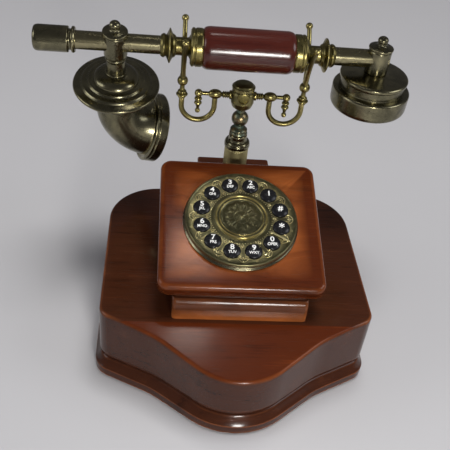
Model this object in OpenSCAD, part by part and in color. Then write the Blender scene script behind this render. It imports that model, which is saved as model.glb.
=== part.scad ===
// French-style cradle telephone: wooden base and sloping case, push-button dial,
// turned brass cradle on a sprung post, and a lift-off handset.
// +X is to the right of a person in front, +Y is the back, +Z is up.
// The origin is on the table, under the middle of the base.

/* [Base] */
// Half of the width of the wooden base
base_half_w = 96.5; // [80:0.5:120]
// Distance from the middle to the straight back
base_back = 98; // [81.5:0.5:120]
// Distance from the middle to the tip of the nose
base_nose = 98; // [90:0.5:120]
// Height of the flat top above the table
base_top = 60.8; // [54:0.2:76]
// How far the top falls from its fold to the nose
nose_drop = 9; // [4:0.5:14]
// Radius of the nose, seen from above
nose_r = 48; // [40:1:56]
// Angle of the front flanks to the width
flank_angle = 37.5; // [34:0.5:40]
// Length of the straight part of a flank beside the nose
flank_run = 28.5; // [20:0.5:32]
// Radius of the hollow curve in each flank
flank_hollow_r = 70; // [50:1:90]
// How far the hollow curve turns each flank outwards
flank_turn = 11; // [6:0.5:14]
// Radius of the two corners at the sides
side_corner_r = 12; // [9:0.5:16]
// Radius of the two corners at the back
back_corner_r = 40; // [25:1:46]
// Thickness of the wooden walls and top of the base
base_wall = 9; // [6:0.5:11]
// Height at which the base body sits on the plinth
body_foot_z = 19.3; // [17:0.1:23]
// Height of the top of the plinth's moulding
plinth_top = 13.3; // [11:0.1:15]
// How far the plinth stands out beyond the body
plinth_out = 3.5; // [2:0.1:5]
// Depth of the groove between plinth and body
groove_depth = 2.2; // [1:0.1:3]
// Height of the plinth above the table
plinth_lift = 1.5; // [1:0.1:2]
// Thickness of the bottom plate
bottom_t = 3; // [2:0.1:4]
// Radius of a rubber foot
foot_r = 7; // [5:0.5:9]

/* [Case] */
// Width of the sloping case
case_w = 115.4; // [104:0.2:138]
// Length of the sloping case along its slope
case_len = 110.4; // [92:0.2:116]
// Thickness of the sloping case
case_t = 11; // [9:0.5:13]
// Slope of the case to the table
case_slope = 15.67; // [13:0.01:17]
// Height of the middle of the dial's seat above the base
case_rise = 43.5; // [42:0.1:56]
// Radius of the case's corners
case_corner_r = 8; // [4:0.5:12]
// How far the case stands out beyond the neck at each side
neck_inset = 10.7; // [8:0.1:14]
// Thickness of the neck's walls
neck_wall = 8; // [5:0.5:10]
// How far the neck's front bulges out below the case
neck_sweep = 5; // [3:0.5:6]

/* [Dial] */
// Outer radius of the brass plate
plate_r = 40; // [37:0.1:48]
// Height of the seat ring
dial_seat_h = 2.6; // [2.4:0.1:3.2]
// Thickness of the brass plate
plate_t = 2.9; // [2:0.1:3.4]
// Radius of a key
key_r = 5.9; // [4.8:0.1:6.1]
// Clearance round a key
key_gap = 0.35; // [0.3:0.05:0.5]
// Travel of a key
key_travel = 1.8; // [1:0.1:1.8]

/* [Post and cradle] */
// Distance from the back of the wooden block to the back of the base
block_inset = 8; // [4:0.5:14]
// Half of the width of the wooden block under the post
block_half_w = 28.5; // [24:0.5:34]
// Height of the wooden block
block_h = 39.4; // [32:0.2:48]
// Depth of the wooden block
block_depth = 29; // [26:0.5:30]
// Radius of the brass post
post_r = 9.2; // [8:0.1:11]
// Height of the brass post above the block
post_h = 21.5; // [18:0.1:26]
// Radius of the plunger that carries the cradle
plunger_r = 2.9; // [2.4:0.1:3.2]
// Running clearance round the plunger
plunger_gap = 0.08; // [0.03:0.01:0.1]
// Travel of the cradle when the handset is lifted
hook_travel = 4; // [3:0.5:4]
// Height of the crossbar's middle above the post
bar_rise = 43.3; // [41:0.1:52]
// Distance from the post to the inner arm of a hook
hook_in = 20.3; // [18:0.1:22]
// Radius of the hooks' rod
hook_rod_r = 2; // [1.7:0.1:2.3]
// Distance from the crossbar down to the middle of the hooks' bend
hook_drop = 10.2; // [8:0.2:12]
// Radius of a fork's prongs
prong_r = 1.9; // [1.5:0.1:2.1]
// Radius of a prong's curve
prong_bend_r = 59; // [57:0.5:64]
// Half of the spread of the prong tips
prong_spread = 20.5; // [18:0.5:22]

/* [Handset] */
// Height of the handset's axis above the crossbar
handset_rise = 35.6; // [34:0.1:40]
// Lean of the transmitter away from a person in front
handset_roll = 13; // [0:1:20]
// Lean of the receiver away from a person in front
receiver_roll = 2; // [0:1:20]
// Half of the length of the wooden grip
grip_half = 32; // [27:0.5:39]
// Radius of the wooden grip
grip_r = 15; // [14:0.1:18]
// Length of a ferrule
ferrule_len = 7; // [6:0.5:9]
// Radius of a ferrule
ferrule_r = 13.4; // [12:0.1:13.8]
// Radius of the neck that rests in a fork
neck_r = 6.3; // [5:0.1:6.3]
// Radius of the handset's tubes
tube_r = 6.4; // [5.6:0.1:6.8]
// Wall of the handset's tubes
tube_wall = 1.2; // [0.8:0.1:1.6]
// Length of the left tube, from the collar to the tee
left_run = 31; // [25:0.5:38]
// Length of the right tube, from the collar to the tee
right_run = 32.5; // [29:0.5:43]
// Length of the left tube beyond the tee
left_tail = 27.5; // [18:0.5:34]
// Radius of a tee
tee_r = 8.3; // [8:0.1:9.4]
// Length of the end cap
end_cap_len = 28; // [23:0.5:34]
// Radius of the end cap
end_cap_r = 9; // [8:0.1:10]
// Radius of the transmitter's disc
disc_r = 31.5; // [28:0.5:34]
// Distance from the handset's axis down to the disc
disc_drop = 36; // [34:0.5:40]
// Radius of the horn under the disc
horn_start_r = 11.5; // [10:0.5:13]
// Radius of the horn at its mouth
horn_mouth_r = 22.5; // [20:0.5:24]
// Radius of the horn's bend
horn_bend_r = 32; // [28:0.5:36]
// Straight drop before the horn's bend
horn_drop = 13; // [8:0.5:16]
// Angle through which the horn bends
horn_bend = 72; // [66:1:90]
// Turn of the horn's mouth towards the back
horn_turn = 10; // [0:1:20]
// Radius of the ring round the mouth
mouth_ring_r = 27; // [25.5:0.1:29]
// Radius of the receiver's upper drum
receiver_r = 25; // [23:0.5:26]
// Distance from the handset's axis down to the receiver's drum
receiver_drop = 10.5; // [10:0.1:16]
// Radius of the receiver's ear cap
ear_cap_r = 28.4; // [27.4:0.1:32]
// Travel given to the handset when it is lifted off
handset_lift = 60; // [50:1:120]

/* [Hidden] */
$fn = 64;
// Heights and places that follow from the sizes above
face_z = base_top + case_rise;
block_top = base_top + block_h;
post_top = block_top + post_h;
bar_z = post_top + bar_rise;
handset_z = bar_z + handset_rise;
post_y = base_back - block_inset - block_depth / 2;
case_back_gap = 1.8;
face_y = post_y - block_depth / 2 - case_back_gap
    - case_t * sin(case_slope) - case_len / 2 * cos(case_slope);
neck_half_w = case_w / 2 - neck_inset;
dial_seat_r = plate_r + 1.1;
key_circle_r = plate_r - 11.1;
medal_ring_r = key_circle_r - 10.1;
// Half of the room that one key has on its circle
key_room = key_circle_r * sin(15);
// Overshoot that keeps a cut clear of the face that it opens
cut = 1;
// Clearance of a fitted piece in its seat
fit_gap = 0.15;
// Gap between pieces of different bodies
body_gap = 0.3;
// Width of the plinth's ledge that takes the bottom plate
ledge_w = 11;
// Radius of a screw's shank and of its head
screw_r = 1.6;
screw_head_r = 3.2;
// Places of the seven screws in the bottom plate
screw_inset = base_wall + ledge_w / 2;
screw_places = [
    [base_half_w - screw_inset, 30], [-base_half_w + screw_inset, 30],
    [base_half_w - screw_inset, -22], [-base_half_w + screw_inset, -22],
    [base_half_w / 2 - 4, base_back - screw_inset],
    [-base_half_w / 2 + 4, base_back - screw_inset],
    [0, -base_nose + screw_inset]
];
foot_places = [
    [base_half_w - 30, base_back - 34], [-base_half_w + 30, base_back - 34],
    [base_half_w - 26, -18], [-base_half_w + 26, -18],
    [0, -base_nose + 30], [0, 0]
];
plate_z = plinth_lift + 0.5;
plate_top = plate_z + bottom_t;
board_z = plate_top + 7;
board_size = [96, 62, 1.6];
board_at = [-48, -40];
ringer_r = 15.5;
ringer_at = [50, base_back - 46];
// Jacks in the back wall
jack_size = [13, 16, 12];
jack_hole = [9.8, 12, 7];
hand_jack = [10, 14, 9];
hand_jack_hole = [7.8, 11, 5.6];
jack_x = 25;
jack_z = 34;
// Under side of the case where it meets the neck
case_front_y = face_y - case_len / 2 * cos(case_slope) + case_t * sin(case_slope);
case_front_z = face_z - case_len / 2 * sin(case_slope) - case_t * cos(case_slope);
case_back_y = face_y + case_len / 2 * cos(case_slope) + case_t * sin(case_slope);
neck_front = case_front_y + 1;
neck_back = case_back_y - 6;
fold_y = neck_front - neck_sweep - 3.2;
// Height of the neck's upright edge under the case, and of the bulge below it
neck_lip = 1.2;
neck_bulge_h = 9;
function case_under(y) = case_front_z + (y - case_front_y) * tan(case_slope);
// Keyboard: heights are above the face of the case
board_h = -4.8;
mat_h = -3.2;
dome_top_h = -1.4;
key_flange_r = min(key_r + 1.1, key_room - 0.3);
pocket_r = key_circle_r + key_flange_r + 0.5;
pocket_depth = -board_h;
// Hole for the wires from the keyboard down to the base
wire_hole_r = 7;
key_flange_h = dial_seat_h - 1.4;
plate_top_h = dial_seat_h + plate_t;
key_top_h = plate_top_h + 2.1;
// Names and angles of the keys, anticlockwise from the right
KEYS = [
    ["key_1", 45], ["key_2", 75], ["key_3", 105], ["key_4", 135],
    ["key_5", 165], ["key_6", 195], ["key_7", 225], ["key_8", 255],
    ["key_9", 285], ["key_0", 315], ["key_star", 345], ["key_hash", 15]
];
// Post and cradle heights
post_bore_r = plunger_r + 1.5;
collar_wide_top = post_top + 5.5;
collar_top = collar_wide_top + 5.2;
cradle_foot = collar_top + body_gap;
plunger_foot = base_top - 14;
stop_t = 3.5;
stop_top = post_top - hook_travel - 0.5;
stop_z = stop_top - stop_t;
ball_z = bar_z - 19.2;
ball_r = 6.4;
hub_w = 17.2;
hub_h = 17;
hub_z = bar_z - 10.2;
boss_r = 4.7;
boss_rise = 1.8;
boss_out = 0.9;
neck_in = grip_half + 1 + ferrule_len + 2.2;
fork_x = neck_in + 2.4;
bar_end_x = (hook_in + fork_x) / 2;
bend_z = bar_z - hook_drop;
bend_r = (fork_x - hook_in) / 2;
fork_collar_z = bar_z - 0.8;
fork_ball_z = bar_z + 9.4;
fork_ball_r = 3.9;
prong_tip_r = 2.6;
// The prong is an arc that starts upright at this height
prong_foot_z = handset_z - sqrt(pow(prong_bend_r + neck_r + prong_r + 0.22, 2) - pow(prong_bend_r, 2));
prong_angle = acos(1 - prong_spread / prong_bend_r);
prong_start = 6.5;
// Handset stations along its axis
ferrule_in = grip_half + 1;
ferrule_out = ferrule_in + ferrule_len;
neck_out = fork_x + 6.9;
bead_out = neck_out + 10;
tee_left_x = bead_out + left_run;
tee_right_x = bead_out + right_run;
tube_left_end = tee_left_x + left_tail;
end_left_x = tube_left_end + end_cap_len;
rod_r = 2.5;
disc_t = 3.4;
cap_ring_h = 8;
// Wall left at the far side of the right tee
tee_wall = 1.4;
stem_r = 6.9;
horn_wall = 1.6;
horn_rings = 20;
horn_sides = 40;
grille_r = horn_mouth_r - 3;
grille_z = 1;
grille_t = 1.6;
mouth_depth = 10.4;
sound_hole_r = 1.1;
receiver_h = 12;
ear_h = 15.6;
drum_foot = -receiver_drop - receiver_h;

function arc(cx, cy, r, a0, a1, n) =
    [for (i = [0:n]) let (a = a0 + (a1 - a0) * i / n) [cx + r * cos(a), cy + r * sin(a)]];

// Right half of the base's outline, moved outwards by d
function flank_p0(d) = [
    (nose_r + d) * sin(flank_angle),
    -base_nose + nose_r - (nose_r + d) * cos(flank_angle)
];
function flank_p1(d) = flank_p0(d) + flank_run * [cos(flank_angle), sin(flank_angle)];
function hollow_centre(d) =
    flank_p1(d) + (flank_hollow_r - d) * [sin(flank_angle), -cos(flank_angle)];
function flank_p2(d) = hollow_centre(d)
    + (flank_hollow_r - d) * [-sin(flank_angle - flank_turn), cos(flank_angle - flank_turn)];
// A corner that is moved in past its own radius keeps a radius of 1
function moved_r(r, d) = max(r + d, 1);
function corner_y(d) = let (a = flank_angle - flank_turn, p = flank_p2(d), r = moved_r(side_corner_r, d))
    p[1] + (r + (base_half_w + d - r - p[0]) * sin(a)) / cos(a);
function base_half(d) = let (side = moved_r(side_corner_r, d), back = moved_r(back_corner_r, d)) concat(
    arc(0, -base_nose + nose_r, nose_r + d, -90, -90 + flank_angle, 10),
    [for (i = [0:4]) let (a = flank_angle - flank_turn * i / 4)
        hollow_centre(d) + (flank_hollow_r - d) * [-sin(a), cos(a)]],
    arc(base_half_w + d - side, corner_y(d), side, flank_angle - flank_turn - 90, 0, 8),
    arc(base_half_w + d - back, base_back + d - back, back, 0, 90, 16)
);
function mirrored(points) =
    [for (i = [len(points) - 1:-1:0]) if (points[i][0] > 0.001) [-points[i][0], points[i][1]]];
function base_outline(d) = let (half = base_half(d)) concat(half, mirrored(half));

module base_slab(d, z0, z1) {
    translate([0, 0, z0]) linear_extrude(z1 - z0) polygon(base_outline(d));
}

// Everything above the sloping front of the top, lowered by depth
module front_wedge(depth) {
    reach = 300;
    drop = nose_drop / (fold_y + base_nose) * reach;
    translate([reach / 2, 0, base_top - depth]) rotate([90, 0, -90]) linear_extrude(reach)
        polygon([[-fold_y, 0], [-fold_y + reach, -drop], [-fold_y + reach, reach], [-fold_y, reach]]);
}

module base_body() {
    color("saddlebrown") difference() {
        base_slab(0, body_foot_z, base_top);
        front_wedge(0);
        difference() {
            base_slab(-base_wall, body_foot_z - cut, base_top - base_wall);
            front_wedge(base_wall);
        }
        for (side = [-1, 1]) translate([side * jack_x, 0, 0]) jack_cutout();
        translate([0, 0, base_top - base_wall - cut]) cylinder(r = wire_hole_r, h = base_wall + 2 * cut);
        translate([0, post_y, base_top - base_wall - cut])
            cylinder(r = plunger_r + body_gap, h = base_wall + 2 * cut);
    }
}

module base_plinth() {
    color("sienna") difference() {
        union() {
            base_slab(plinth_out, plinth_lift, plinth_top);
            base_slab(-groove_depth, plinth_top - cut, body_foot_z);
        }
        base_slab(-base_wall - ledge_w, plinth_lift - cut, body_foot_z + cut);
        base_slab(-base_wall, plinth_lift - cut, plate_top);
        for (p = screw_places) translate([p[0], p[1], plate_z]) cylinder(r = screw_r, h = 11);
    }
}

module bottom_plate() {
    color("darkslategray") {
        difference() {
            union() {
                base_slab(-base_wall - fit_gap, plate_z, plate_top);
                for (x = [4, board_size[0] - 4], y = [4, board_size[1] - 4])
                    translate([board_at[0] + x, board_at[1] + y, plate_top - cut])
                        cylinder(r = 3, h = board_z - plate_top + cut);
            }
            for (p = screw_places) translate([p[0], p[1], plate_z - cut])
                cylinder(r = screw_r, h = bottom_t + 2 * cut);
            for (p = screw_places) translate([p[0], p[1], plate_z - cut])
                cylinder(r = screw_head_r, h = 1.2 + cut);
            for (i = [-2:2]) translate([ringer_at[0] - 9, ringer_at[1] + i * 5 - 1, plate_z - cut])
                cube([18, 2, bottom_t + 2 * cut]);
        }
    }
}

module rubber_feet() {
    color("black") for (p = foot_places) translate([p[0], p[1], 0]) cylinder(r = foot_r, h = plate_z);
}

module bottom_screws() {
    color("gray") for (p = screw_places) translate([p[0], p[1], plate_z]) {
        cylinder(r = screw_head_r, h = 1.2);
        cylinder(r = screw_r, h = 11);
    }
}

// Side profile of the neck: bulging front, under side of the case, upright back
function neck_profile(inset) = concat(
    [[neck_back - inset, base_top], [neck_back - inset, case_under(neck_back - inset) - inset]],
    [[neck_front + inset, case_under(neck_front + inset) - inset]],
    inset > 0 ? [[neck_front + inset, base_top]] :
        concat([for (i = [0:6]) let (a = 90 * i / 6) [neck_front - neck_sweep * sin(a),
            case_under(neck_front) - neck_lip - neck_bulge_h * (1 - cos(a))]],
            [[neck_front - neck_sweep, base_top]])
);

module neck_solid(inset) {
    half = neck_half_w - inset;
    translate([-half, 0, 0]) rotate([90, 0, 90]) linear_extrude(2 * half) polygon(neck_profile(inset));
}

module cabinet_neck() {
    color("saddlebrown") difference() {
        neck_solid(0);
        translate([0, 0, -0.01]) neck_solid(neck_wall);
        on_face(-case_t - neck_wall - 2 * cut) cylinder(r = wire_hole_r, h = neck_wall + 3 * cut);
    }
}

module on_face(h) {
    translate([0, face_y, face_z]) rotate([case_slope, 0, 0]) translate([0, 0, h]) children();
}

module rounded_plate(w, l, r, h) {
    x = w / 2 - r;
    y = l / 2 - r;
    linear_extrude(h) polygon(concat(
        arc(x, y, r, 0, 90, 8), arc(-x, y, r, 90, 180, 8),
        arc(-x, -y, r, 180, 270, 8), arc(x, -y, r, 270, 360, 8)));
}

module cabinet_case() {
    color("sienna") difference() {
        on_face(-case_t) rounded_plate(case_w, case_len, case_corner_r, case_t);
        on_face(-pocket_depth) cylinder(r = pocket_r, h = pocket_depth + cut);
        on_face(-case_t - cut) cylinder(r = wire_hole_r, h = case_t);
    }
}

module dial_seat() {
    color("olive") on_face(0) rotate_extrude() polygon([
        [pocket_r, 0], [dial_seat_r, 0], [dial_seat_r, 0.9],
        [plate_r + 0.2, 1.5], [plate_r - 0.3, dial_seat_h], [pocket_r, dial_seat_h]
    ]);
}

module dial_plate() {
    color("darkkhaki") on_face(dial_seat_h) difference() {
        rotate_extrude() polygon([
            [0, 0], [plate_r - 0.5, 0], [plate_r, 0.6], [plate_r, plate_t - 0.8],
            [plate_r - 0.8, plate_t], [0, plate_t]
        ]);
        for (k = KEYS) rotate(k[1]) translate([key_circle_r, 0, -cut])
            cylinder(r = key_r + key_gap, h = plate_t + 2 * cut);
        translate([0, 0, plate_t - 1.2]) cylinder(r = medal_ring_r + 0.01, h = 1.2 + cut);
    }
}

module medallion() {
    color("olive") on_face(plate_top_h - 1.2) rotate_extrude() polygon([
        [0, 0], [medal_ring_r, 0], [medal_ring_r, 1.9], [medal_ring_r - 0.8, 2.6],
        [medal_ring_r - 1.6, 1.9], [medal_ring_r - 2.2, 1.9], [medal_ring_r - 3, 2.4],
        [medal_ring_r - 3.8, 1.6], [6, 1.9], [0, 2.2]
    ]);
}

module finger_stop() {
    color("gold") on_face(plate_top_h) rotate(330) translate([key_circle_r - 6, -0.5, 0])
        cube([plate_r - 1.5 - key_circle_r + 6, 1, 1.4]);
}

module key_mat() {
    color("dimgray") on_face(mat_h) {
        cylinder(r = pocket_r - 0.8, h = 1);
        for (k = KEYS) rotate(k[1]) translate([key_circle_r, 0, 0.5])
            cylinder(r = 2.8, h = dome_top_h - mat_h - 0.5);
    }
}

module key_board() {
    color("darkgreen") on_face(board_h) difference() {
        cylinder(r = pocket_r - 0.5, h = mat_h - board_h);
        translate([0, 0, -cut]) cylinder(r = 2, h = 4);
    }
}

// A key: domed cap, retaining flange under the plate and a stub above the mat
module key(place) {
    color("black") on_face(0) rotate(place[1]) translate([key_circle_r, 0, 0])
        rotate_extrude() polygon(concat(
        [[0, key_flange_h - 0.4], [2.6, key_flange_h - 0.4], [2.6, key_flange_h],
            [key_flange_r, key_flange_h], [key_flange_r, dial_seat_h - 0.1],
            [key_r, dial_seat_h - 0.1], [key_r, key_top_h - 1.3]],
        [for (i = [1:5]) let (a = 90 * i / 5)
            [key_r - 1.2 + 1.2 * cos(a), key_top_h - 1.3 + 0.8 * sin(a)]],
        [[key_r * 0.45, key_top_h - 0.1], [0, key_top_h]]
    ));
}

module key_1() {
    key(KEYS[0]);
}

module key_2() {
    key(KEYS[1]);
}

module key_3() {
    key(KEYS[2]);
}

module key_4() {
    key(KEYS[3]);
}

module key_5() {
    key(KEYS[4]);
}

module key_6() {
    key(KEYS[5]);
}

module key_7() {
    key(KEYS[6]);
}

module key_8() {
    key(KEYS[7]);
}

module key_9() {
    key(KEYS[8]);
}

module key_0() {
    key(KEYS[9]);
}

module key_star() {
    key(KEYS[10]);
}

module key_hash() {
    key(KEYS[11]);
}

module main_board() {
    color("darkgreen") translate([board_at[0], board_at[1], board_z]) {
        cube(board_size);
        translate([14, 14, board_size[2]]) cube([22, 16, 3]);
        translate([52, 30, board_size[2]]) cube([14, 14, 9]);
        translate([74, 16, board_size[2]]) cylinder(r = 4, h = 11);
    }
}

module ringer() {
    color("silver") translate([ringer_at[0], ringer_at[1], plate_top]) {
        cylinder(r = ringer_r, h = 4);
        cylinder(r = ringer_r * 0.6, h = 9);
    }
}

// Cutout in the back wall for one jack, centred on the jack
module jack_cutout() {
    translate([-jack_size[0] / 2, base_back - base_wall - cut, jack_z - jack_size[2] / 2])
        cube([jack_size[0], base_wall + 2 * cut, jack_size[2]]);
}

module socket_block(size, hole) {
    difference() {
        translate([-size[0] / 2, -size[1], -size[2] / 2]) cube(size);
        translate([-hole[0] / 2, -hole[1], -hole[2] / 2]) cube([hole[0], hole[1] + cut, hole[2]]);
        translate([-1.8, -hole[1], -hole[2] / 2 - 1.6]) cube([3.6, hole[1] + cut, 2]);
    }
}

module line_jack() {
    color("black") translate([-jack_x, base_back, jack_z]) socket_block(jack_size, jack_hole);
}

module cord_jack() {
    color("black") translate([jack_x, base_back, jack_z]) socket_block(jack_size, jack_hole);
}

module post_block() {
    color("maroon") difference() {
        translate([-block_half_w, post_y - block_depth / 2, base_top])
            cube([2 * block_half_w, block_depth, block_top - base_top]);
        translate([0, post_y, base_top - cut])
            cylinder(r = plunger_r + body_gap, h = block_top - base_top + 2 * cut);
    }
}

module post_tube() {
    color("goldenrod") translate([0, post_y, block_top]) difference() {
        rotate_extrude() polygon([
            [0, 0], [post_r + 0.8, 0], [post_r + 0.8, 1.6], [post_r, 2.4],
            [post_r, post_top - block_top], [0, post_top - block_top]
        ]);
        translate([0, 0, 2]) cylinder(r = post_bore_r, h = post_top - block_top);
        translate([0, 0, -cut]) cylinder(r = plunger_r + body_gap, h = 4);
    }
}

module post_collar() {
    color("darkolivegreen") translate([0, post_y, post_top]) difference() {
        rotate_extrude() polygon([
            [0, 0], [post_r + 0.4, 0], [post_r + 0.6, 1], [post_r + 0.6, 3.8], [post_r - 0.4, 5.2],
            [7.2, collar_wide_top - post_top], [6.9, 7.5], [7.1, collar_top - post_top],
            [0, collar_top - post_top]
        ]);
        translate([0, 0, -cut]) cylinder(r = plunger_r + plunger_gap, h = 20);
    }
}

module hook_switch() {
    color("dimgray") {
        translate([-6, post_y - 6, plunger_foot - 16]) cube([16, 12, 15.6]);
        translate([6, post_y - 6, plunger_foot - 1]) cube([4, 12, base_top - base_wall - plunger_foot + 1]);
    }
}

// Coil spring between the floor of the post and the plunger's stop
spring_r = post_bore_r - 0.75;
spring_wire_r = 0.45;
spring_z = block_top + 2 + spring_wire_r + 0.05;
spring_h = stop_z - spring_z - spring_wire_r - 0.25;
spring_turns = 5;
spring_steps = 24;
module hook_spring() {
    rings = spring_turns * spring_steps;
    sides = 8;
    tilt = atan(spring_h / spring_turns / (2 * PI * spring_r));
    points = [for (i = [0:rings], j = [0:sides - 1])
        let (a = 360 * i / spring_steps, b = 360 * j / sides,
            out = spring_wire_r * cos(b), up = spring_wire_r * sin(b))
        [(spring_r + out) * cos(a) + up * sin(tilt) * sin(a),
            (spring_r + out) * sin(a) - up * sin(tilt) * cos(a),
            spring_h * i / rings + up * cos(tilt)]];
    sleeve = [for (i = [0:rings - 1], j = [0:sides - 1]) let (k = (j + 1) % sides)
        [i * sides + j, (i + 1) * sides + j, (i + 1) * sides + k, i * sides + k]];
    color("silver") translate([0, post_y, spring_z]) polyhedron(points,
        concat([[for (j = [0:sides - 1]) j]],
            sleeve, [[for (j = [sides - 1:-1:0]) rings * sides + j]]));
}

module plunger() {
    color("silver") translate([0, post_y, 0]) {
        translate([0, 0, plunger_foot]) cylinder(r = plunger_r, h = cradle_foot + 3 - plunger_foot);
        translate([0, 0, stop_z]) cylinder(r = post_bore_r - 0.4, h = stop_t);
    }
}

module cradle_baluster() {
    top = hub_z;
    color("darkcyan") translate([0, post_y, 0]) difference() {
        rotate_extrude() polygon(concat(
            [[0, cradle_foot], [6.8, cradle_foot], [7, cradle_foot + 1.2], [6.2, cradle_foot + 2.4],
                [6.6, cradle_foot + 3.8], [5.2, cradle_foot + 5.2], [3.4, cradle_foot + 6.2]],
            [for (i = [0:12]) let (a = -62 + 124 * i / 12) [ball_r * cos(a), ball_z + ball_r * sin(a)]],
            [[2.8, ball_z + ball_r + 0.4], [2.8, top - 1], [3.6, top], [0, top]]
        ));
        translate([0, 0, cradle_foot - cut]) cylinder(r = plunger_r, h = 4);
    }
}

module cradle_block() {
    half = hub_w / 2;
    color("darkolivegreen") translate([0, post_y, hub_z]) difference() {
        union() {
            rotate_extrude() polygon([
                [0, 0], [5.4, 0], [7.6, 2.2], [half, 5], [half, 13.8], [half - 0.6, 15.6],
                [half - 0.6, hub_h], [0, hub_h]
            ]);
            translate([0, 0, bar_z - hub_z + boss_rise]) rotate([90, 0, 0])
                cylinder(r = boss_r, h = half + boss_out);
        }
        translate([-half - cut, 0, bar_z - hub_z]) rotate([0, 90, 0]) cylinder(r = 1.7, h = 8);
        translate([half - 7, 0, bar_z - hub_z]) rotate([0, 90, 0]) cylinder(r = 1.7, h = 8);
    }
}

module cradle_cap() {
    half = hub_w / 2;
    color("olive") translate([0, post_y, hub_z + hub_h]) rotate_extrude() polygon([
        [0, 0], [half, 0], [half, 1], [half - 0.9, 1.5], [half - 1.8, 2.6],
        [half - 3.6, 3.5], [3, 3.9], [0, 4]
    ]);
}

// Turned bar from the block to its end ball, with a hole for the hook's arm
module crossbar() {
    start = hub_w / 2;
    difference() {
        translate([0, post_y, bar_z]) rotate([0, 90, 0]) {
            rotate_extrude() polygon(concat(
                [[0, start - 6], [1.7, start - 6], [1.7, start], [3.2, start], [3.2, start + 1.4],
                    [2, start + 2.2], [2.6, start + 3], [2, start + 3.8], [2.6, start + 4.6],
                    [2, start + 5.4]],
                [for (i = [0:8]) let (a = -66 + 132 * i / 8) [3.6 * cos(a), hook_in + 5 * sin(a)]],
                [[1.5, hook_in + 6.2], [1.5, bar_end_x - 3]],
                [for (i = [0:8]) let (a = -60 + 150 * i / 8) [3 * cos(a), bar_end_x + 3 * sin(a)]]
            ));
        }
        translate([hook_in, post_y, bar_z - 6]) cylinder(r = hook_rod_r, h = 6);
        translate([bar_end_x, post_y, bar_z - 6]) cylinder(r = 1, h = 5);
    }
}

module crossbars() {
    color("darkkhaki") {
        crossbar();
        mirror([1, 0, 0]) crossbar();
    }
}

module pendant() {
    translate([bar_end_x, post_y, bar_z]) rotate_extrude() polygon([
        [0, -1], [1, -1], [1, -3.2], [2.6, -3.6], [2.9, -5], [1.7, -6], [3, -7.2], [3, -8.2],
        [1.6, -9.6], [1.1, -11.4], [1.1, -12.6], [2, -13.6], [2, -15], [1, -16], [0, -16.2]
    ]);
}

module pendants() {
    color("olive") {
        pendant();
        mirror([1, 0, 0]) pendant();
    }
}

// Hook: inner arm, half round bend and outer arm up to the fork's collar
module hook() {
    translate([0, post_y, 0]) {
        translate([hook_in, 0, bend_z]) cylinder(r = hook_rod_r, h = bar_z - bend_z);
        translate([fork_x, 0, bend_z]) cylinder(r = hook_rod_r, h = fork_collar_z - 3.4 - bend_z);
        translate([bar_end_x, 0, bend_z]) rotate([90, 0, 0]) rotate([0, 0, 180])
            rotate_extrude(angle = 180) translate([bend_r, 0]) circle(r = hook_rod_r, $fn = 32);
    }
}

module hook_left() {
    color("goldenrod") mirror([1, 0, 0]) hook();
}

module hook_right() {
    color("goldenrod") hook();
}

// One curved prong of a fork, leaning back, with a small ball at its tip
module prong() {
    translate([0, prong_bend_r, 0]) rotate([90, 0, 90]) rotate([0, 0, 180 - prong_angle])
        rotate_extrude(angle = prong_angle - prong_start)
            translate([prong_bend_r, 0]) circle(r = prong_r, $fn = 32);
    translate([0, prong_spread, prong_bend_r * sin(prong_angle)]) sphere(r = prong_tip_r, $fn = 32);
}

// Fork: turned collar and ball with two prongs that hold the handset's neck
module fork() {
    z = fork_collar_z;
    translate([fork_x, post_y, 0]) {
        rotate_extrude() polygon(concat(
            [[0, z - 3.4], [2.6, z - 3.4], [3, z - 2.6], [2.4, z - 1.8], [4.3, z - 1], [4.3, z],
                [2.6, z + 0.8], [3.3, z + 1.8], [1.9, z + 3.2], [1.6, z + 5]],
            [for (i = [0:10]) let (a = -64 + 128 * i / 10)
                [fork_ball_r * cos(a), fork_ball_z + fork_ball_r * sin(a)]],
            [[2.2, fork_ball_z + 4.4], [2, fork_ball_z + 6.2], [0, fork_ball_z + 6.6]]
        ));
        for (side = [0, 1]) mirror([0, side, 0]) translate([0, 0, prong_foot_z]) prong();
    }
}

module fork_left() {
    color("goldenrod") mirror([1, 0, 0]) fork();
}

module fork_right() {
    color("goldenrod") fork();
}

// Handset, drawn about its own axis along X with the cups hanging down
module in_handset() {
    translate([0, post_y, handset_z]) rotate([handset_roll, 0, 0]) children();
}

// The receiver hangs at a lean of its own
module in_receiver() {
    translate([tee_right_x, post_y, handset_z]) rotate([receiver_roll, 0, 0]) children();
}

module turned_x(points) {
    rotate([0, 90, 0]) rotate_extrude() polygon(points);
}

module grip() {
    r = grip_r;
    h = grip_half;
    color("firebrick") in_handset() difference() {
        turned_x(concat(
            [[0, -h], [ferrule_r - 1, -h]],
            [for (i = [1:6]) let (a = 90 * i / 6) [r - 2.4 + 2.4 * sin(a), -h + 5 * (1 - cos(a))]],
            [for (i = [5:-1:0]) let (a = 90 * i / 6) [r - 2.4 + 2.4 * sin(a), h - 5 * (1 - cos(a))]],
            [[0, h]]));
        translate([-h - cut, 0, 0]) rotate([0, 90, 0]) cylinder(r = rod_r, h = 2 * (h + cut));
    }
}

module tie_rod() {
    length = neck_out + 4;
    color("gray") in_handset() translate([-length, 0, 0]) rotate([0, 90, 0])
        cylinder(r = rod_r, h = 2 * length);
}

module ferrule() {
    difference() {
        turned_x([
            [0, grip_half], [ferrule_r - 0.6, grip_half], [ferrule_r, ferrule_in],
            [ferrule_r, ferrule_in + 4.2], [ferrule_r - 0.7, ferrule_in + 4.8], [ferrule_r, ferrule_in + 5.4],
            [ferrule_r - 0.4, ferrule_out], [0, ferrule_out]
        ]);
        translate([grip_half - cut, 0, 0]) rotate([0, 90, 0]) cylinder(r = rod_r, h = 12);
    }
}

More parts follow.
